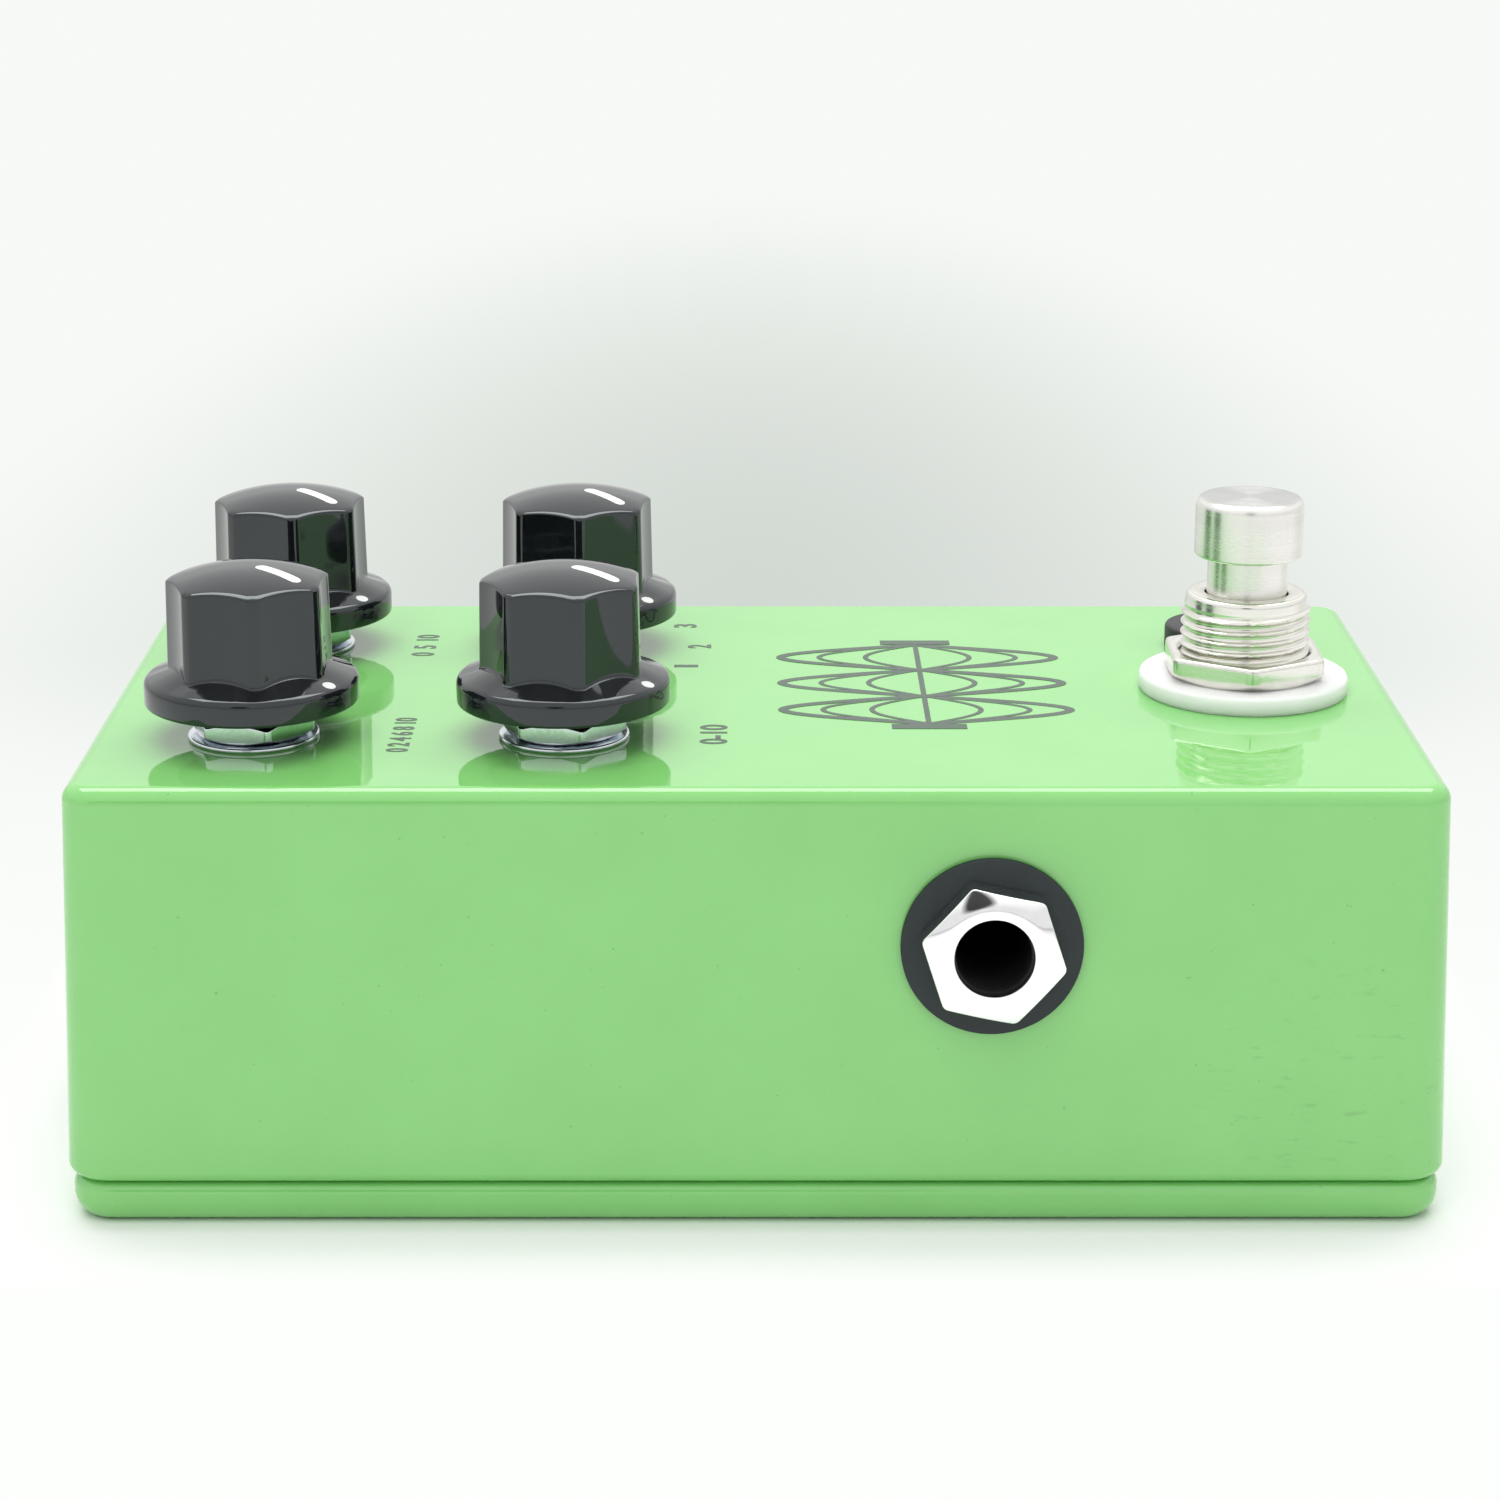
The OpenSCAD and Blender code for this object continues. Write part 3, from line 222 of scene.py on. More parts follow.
def nut(flats, bore, height, turn=0.0, foot=0.95, face=0.95, edge=0.1, lead=0.25):
    """A nut as a grid, with its corners bevelled outside circles of foot and face times half its width."""
    rim = hexagon(flats)
    low_r, high_r = np.minimum(foot * flats / 2, rim), np.minimum(face * flats / 2, rim - edge)
    slope = np.tan(np.radians(30))
    outline = [(bore + lead, 0, 0.05), (low_r, 0, edge), (rim, (rim - low_r) * slope, edge),
               (rim, height - (rim - high_r) * slope, edge), (high_r, height, edge),
               (bore + lead, height, 0.05), (bore, height - lead, 0.05), (bore, lead, 0.05)]
    return turned(soften(outline), nut_columns, turn)


print("a nut of 10 mm across flats spans", np.ptp(nut(10, 3.5, 2)[..., 0]), "mm over its corners")

# %% [markdown]
# ## Finishes
#
# Every finish is a Principled shader with some real detail in it. Noise in the object's own coordinates
# moves the colour a little, makes some spots duller than others and gives the surface its fine relief. On
# turned metal the noise is stretched round the axis, as the marks of the lathe tool are.

# %% Small helpers for shader nodes
def new_finish(name, sockets):
    """A material, its node tree and its Principled shader, with these constants on the shader's sockets."""
    finish = bpy.data.materials.new(name)
    finish.use_nodes = True
    shader = finish.node_tree.nodes["Principled BSDF"]
    for socket, value in sockets.items():
        shader.inputs[socket].default_value = value
    return finish, finish.node_tree, shader


def add(tree, kind, inputs, **settings):
    """A node of this kind; an input is a constant or the socket that it is linked from."""
    made = tree.nodes.new("ShaderNode" + kind)
    for name, value in settings.items():
        setattr(made, name, value)
    for socket, value in inputs.items():
        if isinstance(value, bpy.types.NodeSocket):
            tree.links.new(value, made.inputs[socket])
        else:
            made.inputs[socket].default_value = value
    return made


def maths(tree, operation, a, b=0.0):
    """A number worked out from one or two others."""
    return add(tree, "Math", {0: a, 1: b}, operation=operation).outputs[0]


def vectors(tree, operation, a, b=(0.0, 0.0, 0.0)):
    """A direction worked out from one or two others, or the number that they give."""
    made = add(tree, "VectorMath", {0: a, 1: b}, operation=operation)
    return made.outputs["Value" if operation in ("LENGTH", "DISTANCE", "DOT_PRODUCT") else "Vector"]


def noise(tree, vector, size, detail):
    """Noise whose features are about size millimetres across."""
    inputs = {"Vector": vector, "Scale": 1 / (size * mm), "Detail": detail}
    return add(tree, "TexNoise", inputs).outputs["Fac"]


def spread(tree, value, low, high, start, end):
    """Value goes from start to end while the input goes from low to high."""
    inputs = {"Value": value, "From Min": low, "From Max": high, "To Min": start, "To Max": end}
    return add(tree, "MapRange", inputs).outputs["Result"]


def mixed(tree, share, a, b):
    """Colour a where share is 0 and colour b where it is 1."""
    return add(tree, "Mix", {0: share, 6: a, 7: b}, data_type="RGBA").outputs[2]


print("shader helpers: add, maths, vectors, noise, spread and mixed")

# %% [markdown]
# `grained` covers most materials of the pedal: two shades, two roughnesses, a grain size and a relief. The
# grain can follow rings round a vertical axis, for turned metal, and the rings are then also the direction
# in which the metal is brushed.

# %% A grained finish
cloud_ratio, usual_sum = 12, (0.7, 1.3)


def grained(name, dark, light, size, roughness, relief, axis=None, **sockets):
    """A finish between two shades and two roughnesses, with a grain of size and relief in millimetres.

    Two noises are added, the grain and a cloud that is wider by a ratio, and nearly all sums lie in the
    usual range, which is spread over the shades and the roughnesses.
    """
    constants = {key.replace("_", " ").title().replace("Ior", "IOR"): value for key, value in sockets.items()}
    finish, tree, shader = new_finish(name, constants)
    place = add(tree, "TexCoord", {}).outputs["Object"]
    if axis is not None:
        flat = vectors(tree, "SUBTRACT", place, (axis[0] * mm, axis[1] * mm, 0))
        flat = vectors(tree, "MULTIPLY", flat, (1, 1, 0))
        height = add(tree, "SeparateXYZ", {0: place}).outputs["Z"]
        place = add(tree, "CombineXYZ", {"X": vectors(tree, "LENGTH", flat), "Z": height}).outputs[0]
        tree.links.new(vectors(tree, "CROSS_PRODUCT", (0, 0, 1), flat), shader.inputs["Tangent"])
    grain = noise(tree, place, size, 3)
    both = maths(tree, "ADD", grain, noise(tree, place, cloud_ratio * size, 2))
    colour = mixed(tree, spread(tree, both, *usual_sum, 0, 1), (*dark, 1), (*light, 1))
    tree.links.new(colour, shader.inputs["Base Color"])
    tree.links.new(spread(tree, both, *usual_sum, *roughness), shader.inputs["Roughness"])
    bump = add(tree, "Bump", {"Height": grain, "Distance": relief * mm}).outputs[0]
    tree.links.new(bump, shader.inputs["Normal"])
    print("finish", name, "has", len(tree.nodes), "nodes")
    return finish


# %% [markdown]
# The box is sprayed with a gloss enamel. Three things make it look real: a hardly visible cloudiness, the
# "orange peel" that makes reflections waver, and the few specks and scuffs of a pedal that is used. The
# scuffs gather low at one end of the front, where a shoe meets the box.

# %% Green enamel
paint_dark, paint_light = (0.216, 0.586, 0.162, 1), (0.230, 0.612, 0.175, 1)
speck_green, scuff_green = (0.11, 0.33, 0.09, 1), (0.13, 0.33, 0.10, 1)
shoe_place, streak_shape = (0.05, -0.0325, 0.014), (0.5, 1, 2)
enamel, tree, shader = new_finish("green_enamel", {"IOR": 1.68})
place = add(tree, "TexCoord", {}).outputs["Object"]
cloud = spread(tree, noise(tree, place, 9, 3), 0.3, 0.7, 0, 1)
speck = spread(tree, noise(tree, place, 0.5, 1), 0.775, 0.81, 0, 0.5)
near_shoe = spread(tree, vectors(tree, "DISTANCE", place, shoe_place), 0.004, 0.013, 1, 0)
streaks = noise(tree, vectors(tree, "MULTIPLY", place, streak_shape), 1.3, 3)
scuff = maths(tree, "MULTIPLY", spread(tree, streaks, 0.62, 0.68, 0, 0.3), near_shoe)
colour = mixed(tree, cloud, paint_dark, paint_light)
colour = mixed(tree, speck, colour, speck_green)
colour = mixed(tree, scuff, colour, scuff_green)
tree.links.new(colour, shader.inputs["Base Color"])
sheen = spread(tree, noise(tree, place, 3, 2), 0.3, 0.7, 0.02, 0.05)
tree.links.new(maths(tree, "ADD", sheen, scuff), shader.inputs["Roughness"])
peel = add(tree, "Bump", {"Height": noise(tree, place, 1.1, 1), "Distance": 0.003 * mm}).outputs[0]
tree.links.new(peel, shader.inputs["Normal"])
print("enamel nodes:", len(tree.nodes))

# %% [markdown]
# The other finishes differ only in their numbers. Metals reflect with their own colour, so their shades are
# bright and their metallic value is 1. Plastics are dark or white, and reflect with the white of the room.

# %% Plastics, metals and inks
switch_axis = middle_mm("footswitch_nut")
gloss_black = grained("gloss_black", (0.005, 0.006, 0.008), (0.008, 0.009, 0.011), 0.7, (0.03, 0.07), 0.0008,
                      IOR=1.6, specular_tint=(0.92, 1.0, 1.0, 1.0))
matte_black = grained("matte_black", (0.012, 0.012, 0.013), (0.022, 0.022, 0.023), 0.25, (0.42, 0.55), 0.004)
fibre_black = grained("fibre_black", (0.012, 0.017, 0.018), (0.026, 0.034, 0.036), 0.3, (0.6, 0.8), 0.012)
white_paint = grained("white_paint", (0.80, 0.81, 0.80), (0.88, 0.89, 0.88), 0.4, (0.35, 0.5), 0.004)
panel_ink = grained("panel_ink", (0.022, 0.055, 0.030), (0.040, 0.085, 0.048), 0.35, (0.22, 0.36), 0.002)
nylon = grained("nylon", (0.94, 0.945, 0.94), (0.97, 0.97, 0.965), 0.5, (0.35, 0.5), 0.002,
                subsurface_weight=1.0, subsurface_radius=(1, 1, 1), subsurface_scale=0.003)
zinc = grained("zinc", (0.62, 0.66, 0.70), (0.78, 0.82, 0.87), 0.35, (0.12, 0.24), 0.0015, metallic=1.0)
nickel = grained("nickel", (0.62, 0.61, 0.54), (0.82, 0.81, 0.76), 0.16, (0.13, 0.21), 0.0008,
                 axis=switch_axis, metallic=1.0)
brushed_nickel = grained("brushed_nickel", (0.72, 0.71, 0.67), (0.84, 0.83, 0.79), 0.16, (0.22, 0.32), 0.0008,
                         axis=switch_axis, metallic=1.0, anisotropic=0.8, anisotropic_rotation=0.25)
chrome = grained("chrome", (0.84, 0.84, 0.85), (0.92, 0.92, 0.93), 1.5, (0.03, 0.07), 0.001, metallic=1.0)
print("made the visible finishes, turned round", switch_axis[:2])

# %% [markdown]
# ## The box
#
# The box is a die casting, so its walls lean in by two degrees and its corners are round. At any height the
# outline is a rectangle with round corners, and all these outlines share the same four corner centres. So a
# profile of distance and height, carried round the rectangle of those centres, gives the whole outside. A
# cube with a Bevel modifier would also be quick, but it wouldn't give the lean.

# %% Carry a profile round a rectangle
def around(profile, half_l, half_w, steps=13):
    """Carry (distance, height) points round a rectangle: corner centre + distance * (cos a, sin a)."""
    angle = np.radians(np.concatenate([np.linspace(90 * q, 90 * q + 90, steps) for q in range(4)]))
    corners = [(half_l, half_w), (-half_l, half_w), (-half_l, -half_w), (half_l, -half_w)]
    centre = np.repeat(corners, steps, axis=0)
    profile = np.asarray(profile, float)
    flat = centre + profile[:, 0, None, None] * np.stack([np.cos(angle), np.sin(angle)], -1)
    height = np.broadcast_to(profile[:, 1, None, None], flat.shape[:2] + (1,))
    return np.concatenate([flat, height], -1)


def arc(centre, radius, start, end, steps=8):
    """Points on part of a circle, with angles in degrees."""
    angle = np.radians(np.linspace(start, end, steps))
    return np.stack([centre[0] + radius * np.cos(angle), centre[1] + radius * np.sin(angle)], -1)


print("a quarter of a circle:", arc((0, 0), 1, 0, 90, 3).round(2).tolist())

# %% [markdown]
# The flat parts have round holes in them, for the controls, the jacks and the screws. A Boolean modifier
# could cut them. Here the flat is triangulated between its outline and the circles instead, which keeps the
# points of the outline and so stays welded to the rounds beside it.

# %% Flats with round holes
level = ((1, 0, 0), (0, 1, 0))


def circle(centre, radius, right, up, sides=64):
    """Points of a circle in the plane of the directions right and up."""
    angle = np.linspace(0, 2 * np.pi, sides, endpoint=False)[:, None]
    return np.asarray(centre) + radius * (np.cos(angle) * np.asarray(right) + np.sin(angle) * np.asarray(up))


def flat_between(loops, right, up):
    """Points and triangles of a flat inside the first loop and outside the others."""
    points = np.vstack(loops)
    ends = np.cumsum([len(loop) for loop in loops])
    index = np.arange(len(points))
    follower = index + 1
    follower[ends - 1] = np.concatenate([[0], ends[:-1]])
    flat = np.stack([points @ np.asarray(right, float), points @ np.asarray(up, float)], -1)
    made = delaunay_2d_cdt(flat.tolist(), np.stack([index, follower], -1).tolist(), [], 1, 1e-6)
    triangles = np.array([ids[0] for ids in made[3]])[np.array(made[2])]
    loop = np.searchsorted(ends, triangles, side="right")
    in_hole = (loop[:, 0] > 0) & (loop == loop[:, :1]).all(1)
    return points, triangles[~in_hole].tolist()


def joined(*parts):
    """Several (points, faces) parts as one."""
    starts = np.cumsum([0] + [len(points) for points, _ in parts])
    faces = [[i + start for i in face] for (_, some), start in zip(parts, starts) for face in some]
    return np.vstack([points for points, _ in parts]), faces


flat_ring = flat_between([circle((0, 0, 0), r, *level) for r in (2, 1)], *level)
print("a flat ring has", len(flat_ring[1]), "triangles")

# %% [markdown]
# A hole in a leaning wall lies on the axis of its socket. The mount of the socket gives that axis, and where
# it meets the wall is found by moving along it until the distance from the middle plane is right.

# %% Sizes of the box and seats in its walls
body_low, body_high = box_mm("enclosure_body")
corner_r, seam_r, top_r, wall, inner_r, draft = 4.0, 1.0, 1.5, 2.3, 3.0, np.radians(2)
seam_z = body_low[2]
half = body_high[:2] + seam_r * np.tan(draft)
core = half - corner_r
inner_core = half - wall / np.cos(draft) - inner_r


def seat(mount):
    """Where a mount's axis meets the outside of the wall, with the wall's directions right, up and out."""
    out = np.array(mounts[mount]["axis"], float)
    start = np.array(mounts[mount]["pos_m"]) / mm
    side = int(np.argmax(np.abs(out)))
    lean = np.sign(out[side]) * out[side] + out[2] * np.tan(draft)
    short = half[side] - (start[2] - seam_z) * np.tan(draft) - np.sign(out[side]) * start[side]
    right = np.cross((0, 0, 1), out) / np.linalg.norm(np.cross((0, 0, 1), out))
    return start + out * short / lean, np.array([right, np.cross(out, right), out])


seats = {name: seat(name) for name in ("output_jack", "input_jack", "dc_socket")}
print({name: place.round(2) for name, (place, _) in seats.items()})

# %% [markdown]
# The outer and the inner skin are built apart and joined by the walls of their holes. On each pierced wall
# the one big quad of the grid is left out, and a flat with a hole takes its place. Inside, a hollow post in
# each corner takes a screw of the cover.

# %% The cast box
seam_steps, top_steps = 7, 11
low_x = corner_r - seam_r * np.tan(draft) - seam_r
high_x = corner_r - (panel_z - top_r - seam_z) * np.tan(draft) - top_r
outer = around(np.vstack([arc((low_x, seam_z + seam_r), seam_r, -90, 0, seam_steps),
                          arc((high_x, panel_z - top_r), top_r, 0, 90, top_steps)]), *core)
ceiling = panel_z - wall
inner = around([(inner_r, seam_z), (inner_r - (ceiling - seam_z) * np.tan(draft), ceiling)], *inner_core)
columns = outer.shape[1]
walls = {"input_jack": columns // 4 - 1, "dc_socket": columns // 2 - 1, "output_jack": 3 * columns // 4 - 1}
wall_holes = {"input_jack": 4.7, "output_jack": 4.7, "dc_socket": 5.85}
control_hole, switch_hole, light_hole = 3.75, 6.25, 3.95
panel_holes = [(place, control_hole) for place in control_places.values()]
panel_holes += [(switch_axis, switch_hole), (middle_mm("led_bezel"), light_hole)]


def pierced(grid, row, thickness):
    """A grid's skin without its pierced quads, and the flats with holes that stand in for them."""
    points, faces = skin(grid)
    left_out = {row * grid.shape[1] + column for column in walls.values()}
    faces = [face for i, face in enumerate(faces) if i not in left_out]
    parts, rings = [(points, faces)], {}
    for name, column in walls.items():
        place, (right, up, out) = seats[name]
        window = grid[[row, row, row + 1, row + 1], [column, column + 1, column + 1, column]]
        rings[name] = circle(place - out * thickness, wall_holes[name], right, up)
        parts.append(flat_between([window, rings[name]], right, up))
    return parts, rings


outer_parts, outer_rings = pierced(outer, seam_steps - 1, 0)
inner_parts, inner_rings = pierced(inner, 0, wall)
tubes = [np.stack([outer_rings[name], inner_rings[name]]) for name in walls]
discs = [[circle((*place[:2], z), r, *level) for place, r in panel_holes] for z in (panel_z, ceiling)]
tubes += [np.stack(pair) for pair in zip(*discs)]
rim = np.stack([outer[0], inner[0]])
screw_inset, head_r, screw_r, boss_r = 6.2, 3.3, 1.7, 4.0
screw_places = [(x, y, 0) for x in (screw_inset - half[0], half[0] - screw_inset)
                for y in (screw_inset - half[1], half[1] - screw_inset)]
pilot_r, boss_top = screw_r + 0.1, ceiling + 0.1
boss = turned(soften([(pilot_r, seam_z, 0), (boss_r, seam_z, 0), (boss_r, boss_top, 0),
                      (pilot_r, boss_top, 0)], steps=2), 48)
bosses = [boss + place for place in screw_places]
panels = [flat_between([grid[-1], *rings], *level) for grid, rings in zip((outer, inner), discs)]
put("cast_box", *joined(*outer_parts, *inner_parts, *panels, skin(rim), skin(*tubes, *bosses)), enamel,
    slot="green_paint", replaces=["enclosure_body"])

# %% [markdown]
# The bottom cover sits a little inside the outline of the box, and both edges at the seam are rounded, so
# the seam shows as a dark line. Its four countersinks take the screws from below. Its upper side is a pocket
# in the shape of a cross, because the corners belong to the screws, and four upright lips along the ends of
# the cross find their place in the box.

# %% The bottom cover
cover_r, foot_r, cover_inset, seam_gap, sink, cover_floor = 3.6, 2.2, 0.4, 0.15, 0.3, 2.2
cover_core, cover_top = half - cover_inset - cover_r, seam_z - seam_gap
cover = around(np.vstack([arc((cover_r - foot_r, foot_r), foot_r, -90, 0, 10),
                          arc((cover_r - seam_r, cover_top - seam_r), seam_r, 0, 90, 7)]), *cover_core)
sink_r, hole_r = head_r + 0.25, screw_r + 0.25
sinks = turned(soften([(sink_r, 0, 0), (sink_r, sink, 0), (hole_r, sink + head_r - screw_r, 0),
                       (hole_r, cover_top, 0)], closed=False, steps=2), 64)
screw_holes = [sinks + place for place in screw_places]
lip_high, lip_t, lip_gap = heights_mm("bottom_cover")[1], 1.6, 0.35
lip_l, lip_w = half - wall - lip_gap
stop_l, stop_w = half - screw_inset - boss_r - lip_gap
arm = np.array([(lip_l, stop_w), (stop_l, stop_w), (stop_l, lip_w)])
cross = np.vstack([arm, arm[::-1] * (-1, 1), -arm, arm[::-1] * (1, -1)])
pocket = np.stack([np.insert(cross, 2, z, axis=1) for z in (cover_top, cover_floor)])


def block(low, high):
    """A box between two corners, as a grid of two rings."""
    ring = np.array([(0, 0), (1, 0), (1, 1), (0, 1)]) * (np.array(high[:2]) - low[:2]) + low[:2]
    return np.stack([np.insert(ring, 2, z, axis=1) for z in (low[2], high[2])])


lip_low = cover_floor - 0.2
lips = [block((-stop_l, y, lip_low), (stop_l, y + lip_t, lip_high)) for y in (-lip_w, lip_w - lip_t)]
lips += [block((x, -stop_w, lip_low), (x + lip_t, stop_w, lip_high)) for x in (-lip_l, lip_l - lip_t)]
put("cover_plate", *joined(skin(cover, pocket, *screw_holes), capped(*lips),
                           flat_between([pocket[1]], *level),
                           flat_between([cover[0], *[hole[0] for hole in screw_holes]], *level),
                           flat_between([cover[-1], pocket[0], *[hole[-1] for hole in screw_holes]], *level)),
    enamel, slot="green_paint", replaces=["bottom_cover"])

# %% [markdown]
# ## Print on the panel
#
# The controls are marked with plain numbers, and a drawing fills the middle of the panel: a string that
# swings in three loops. Both are ink, so they are thin plates that stand a few hundredths of a millimetre
# above the enamel. Numbers are easiest as text, turned into a mesh and squeezed to a narrow letter. They are
# read from the stomp switch end, so their tops point away from it.

# %% Numbers
ink_z, ink_t = panel_z + 0.012, 0.028


def numbers(words, centre, height, length):
    """Points and faces of a word of a given size: letters run along +Y with their tops towards -X."""
    text = bpy.data.curves.new("words", "FONT")
    text.body, text.align_x, text.align_y, text.extrude, text.offset = words, "CENTER", "CENTER", 0.01, 0.025
    holder = bpy.data.objects.new("words", text)
    scene.collection.objects.link(holder)
    mesh = bpy.data.meshes.new_from_object(holder.evaluated_get(bpy.context.evaluated_depsgraph_get()))
    flat = np.empty(len(mesh.vertices) * 3)
    mesh.vertices.foreach_get("co", flat)
    flat = flat.reshape(-1, 3)
    faces = [list(face.vertices) for face in mesh.polygons]
    flat = (flat - (flat.max(0) + flat.min(0)) / 2) / np.ptp(flat, axis=0)
    points = np.stack([centre[0] - flat[:, 1] * height, centre[1] + flat[:, 0] * length,
                       ink_z + flat[:, 2] * ink_t], -1)
    bpy.data.objects.remove(holder)
    bpy.data.curves.remove(text)
    bpy.data.meshes.remove(mesh)
    return points, faces


labels = [("0 2 4 6 8 10", (-31.8, -15.1), 2.0, 10.6), ("0  5  10", (-32.2, 15.3), 2.2, 7.8),
          ("0-10", (-3.8, -15.0), 2.5, 6.0), ("3", (-6.9, 22.7), 2.3, 1.3), ("2", (-5.4, 14.9), 2.3, 1.3),
          ("1", (-6.6, 7.8), 2.3, 0.8)]
put("panel_numbers", *joined(*[numbers(*label) for label in labels]), panel_ink, sharp=20)

# %% [markdown]
# Each line of the drawing is a ribbon: a small rectangle carried along a path. The paths are one sine curve
# with three half waves, drawn at several heights, as a slow photograph of a string would show it.

# %% The string drawing
ink_foot, ink_step = 0.005, 0.002


def ribbon(path, width, lift):
    """A flat line along a path of (x, y) points, with its top at lift above the panel."""
    along = np.gradient(path, axis=0)
    across = np.stack([-along[:, 1], along[:, 0]], -1)
    side = across / np.linalg.norm(along, axis=1, keepdims=True) * width / 2
    left, right = path + side, path - side
    tops, feet = np.full(len(path), panel_z + lift), np.full(len(path), panel_z - ink_foot)
    ring = [(left, tops), (right, tops), (right, feet), (left, feet)]
    return np.stack([np.column_stack([flat, z]) for flat, z in ring], 1)


drawing_x, drawing_y, drawing_l, swing, loops = 15.7, 1.85, 27.0, 13.2, 3
thick, thin, line_lift = 0.9, 0.5, 0.026
bar_half, bar_gap, bar_w, bar_lift = 3.4, 0.9, 1.5, 0.042
t = np.linspace(0, 1, 121)
lines = []
for i, share in enumerate((1, 0.72, 0.38, 0, -0.38, -0.72, -1)):
    swung = drawing_x + swing * share * np.sin(loops * np.pi * t)
    path = np.stack([swung, drawing_y + drawing_l * (t - 0.5)], -1)
    lines.append(ribbon(path, thick if abs(share) == 1 else thin, line_lift + ink_step * i))
for i, end in enumerate((-1, 1)):
    bar_y = drawing_y + end * (drawing_l / 2 + bar_gap)
    bar = np.linspace((drawing_x - bar_half, bar_y), (drawing_x + bar_half, bar_y), 9)
    lines.append(ribbon(bar, bar_w, bar_lift + ink_step * i))
put("panel_drawing", *capped(*lines), panel_ink, sharp=20)

# %% [markdown]
# ## The knobs
#
# The knobs are moulded in black and have a skirt, a seven-sided grip and a slightly domed top. The shape is
# one grid: columns go round, rows go from the recess underneath, out over the skirt, up the grip and in over
# the dome. The seven sides are a little hollow and meet in narrow round ridges, so the grip's radius changes
# from column to column, and every edge follows it. That is why the foot of each side curves up and why the
# dome's edge is wavy, as on the real knob. The columns gather at the ridges, where the radius turns.

# %% Section of the grip
knob_low, knob_high = box_mm("volume_knob")
skirt_r = (knob_high[0] - knob_low[0]) / 2
knob_h = knob_high[2] - knob_low[2]
rim_h, foot_h, grip_r, shoulder_r, dome_h, foot_slope = 2.25, 2.9, 7.45, 7.3, 1.4, 0.75
grip_sides, side_half, side_sag, ridge_turn, blend = 7, np.radians(22.2), 0.14, 3, 0.05
side_angle = 360 / grip_sides
dome_r = (shoulder_r**2 + dome_h**2) / (2 * dome_h)
lean = (grip_r - shoulder_r) / (knob_h - dome_h - foot_h)
side_columns, gather = 44, 0.6
step = np.arange(grip_sides * side_columns) / side_columns
knob_angle = ridge_turn + side_angle * (step - gather / (2 * np.pi) * np.sin(2 * np.pi * step))


def grip_section(angle):
    """Radius of the grip by angle in degrees from the pointer.

    A side is a hollow of radius h whose axis lies at distance d: r = d cos a - sqrt(h^2 - d^2 sin^2 a) at
    angle a from its middle. The smaller of that and the ridge's radius counts, and a soft minimum,
    -s log(exp(-p / s) + exp(-q / s)), rounds the change from one to the other.
    """
    chord = grip_r * np.sin(side_half)
    hollow = (chord**2 + side_sag**2) / (2 * side_sag)
    axis = grip_r * np.cos(side_half) - side_sag + hollow
    a = np.radians((angle - ridge_turn) % side_angle - side_angle / 2)
    side = axis * np.cos(a) - np.sqrt(hollow**2 - (axis * np.sin(a)) ** 2)
    return -blend * np.logaddexp(-side / blend, -grip_r / blend)


def foot(r):
    """Height at which a grip of radius r stands on the skirt."""
    return foot_h + (grip_r - r) * foot_slope


def dome(r):
    """Height of the knob's top at radius r, measured from the knob's underside."""
    return knob_h - dome_r + np.sqrt(dome_r**2 - r**2)


grip = grip_section(knob_angle)
print("grip radius from", grip.min().round(2), "to", grip.max().round(2), "mm")

# %% [markdown]
# With the section known, the rows are corners to soften: recess, rim, skirt, foot, shoulder. Where a side
# runs out into the dome the edge is crisp, and on the ridges it is rounder, so the softening length depends
# on the column. The screw that clamps the knob sits in a hole on the side away from the pointer. The hole is
# made by pressing the grip's rows inwards inside a circle.

# %% One knob
recess_r, recess_h, insert_r = 6.9, 2.2, 4.55
grub_h, grub_r, grub_end, grub_edge = 7.4, 1.55, 5.75, 0.12
ridge_from, ridge_over, edge_drop, ridge_drop, edge_in = 21, 4, 0.16, 0.12, 0.55
insert_top = heights_mm("volume_insert")[1] - knob_low[2] + 0.05


def knob_grid():
    """The whole knob round its own axis, with the pointer towards +X and its underside at height 0."""
    from_middle = np.abs((knob_angle - ridge_turn) % side_angle - side_angle / 2)
    on_ridge = np.clip((from_middle - ridge_from) / ridge_over, 0, 1)
    top_r = grip - lean * (dome(grip) - foot_h)
    top_z = dome(top_r)
    wall_top = top_z - (edge_drop + ridge_drop * on_ridge)
    under = soften([(0, insert_top, 0), (insert_r, insert_top, 0), (insert_r, recess_h, 0.05),
                    (recess_r, recess_h, 0.1), (recess_r, 0, 0.12), (skirt_r, 0, 0.3), (skirt_r, rim_h, 0.5),
                    (grip, foot(grip), 0.22), (grip - lean * (wall_top - foot_h), wall_top, 0)], closed=False)
    low_z = under[-6, 1]
    wall_z = low_z + np.linspace(0, 1, 45)[1:, None] * (wall_top - low_z)
    wall_r = grip - lean * (wall_z - foot_h)
    off = np.hypot(np.radians(knob_angle % 360 - 180) * grip_r, wall_z - grub_h)
    in_hole = np.clip((grub_r - off) / grub_edge + 0.5, 0, 1)
    wall_r = wall_r + (np.minimum(grub_end, wall_r) - wall_r) * in_hole
    edge_r = top_r - edge_in
    s = np.linspace(0, 1, 10)[1:, None]
    round_r, round_z = bend(wall_r[-1], top_r, edge_r, s), bend(wall_top, top_z, dome(edge_r), s)
    in_r = edge_r * np.linspace(1, 0, 15)[1:, None]
    above = [np.stack(row, 1) for row in ((wall_r, wall_z), (round_r, round_z), (in_r, dome(in_r)))]
    return carried(np.concatenate([under[:-5], *above]), knob_angle)


knob_shape = knob_grid()
print("knob rows and columns:", knob_shape.shape[:2])

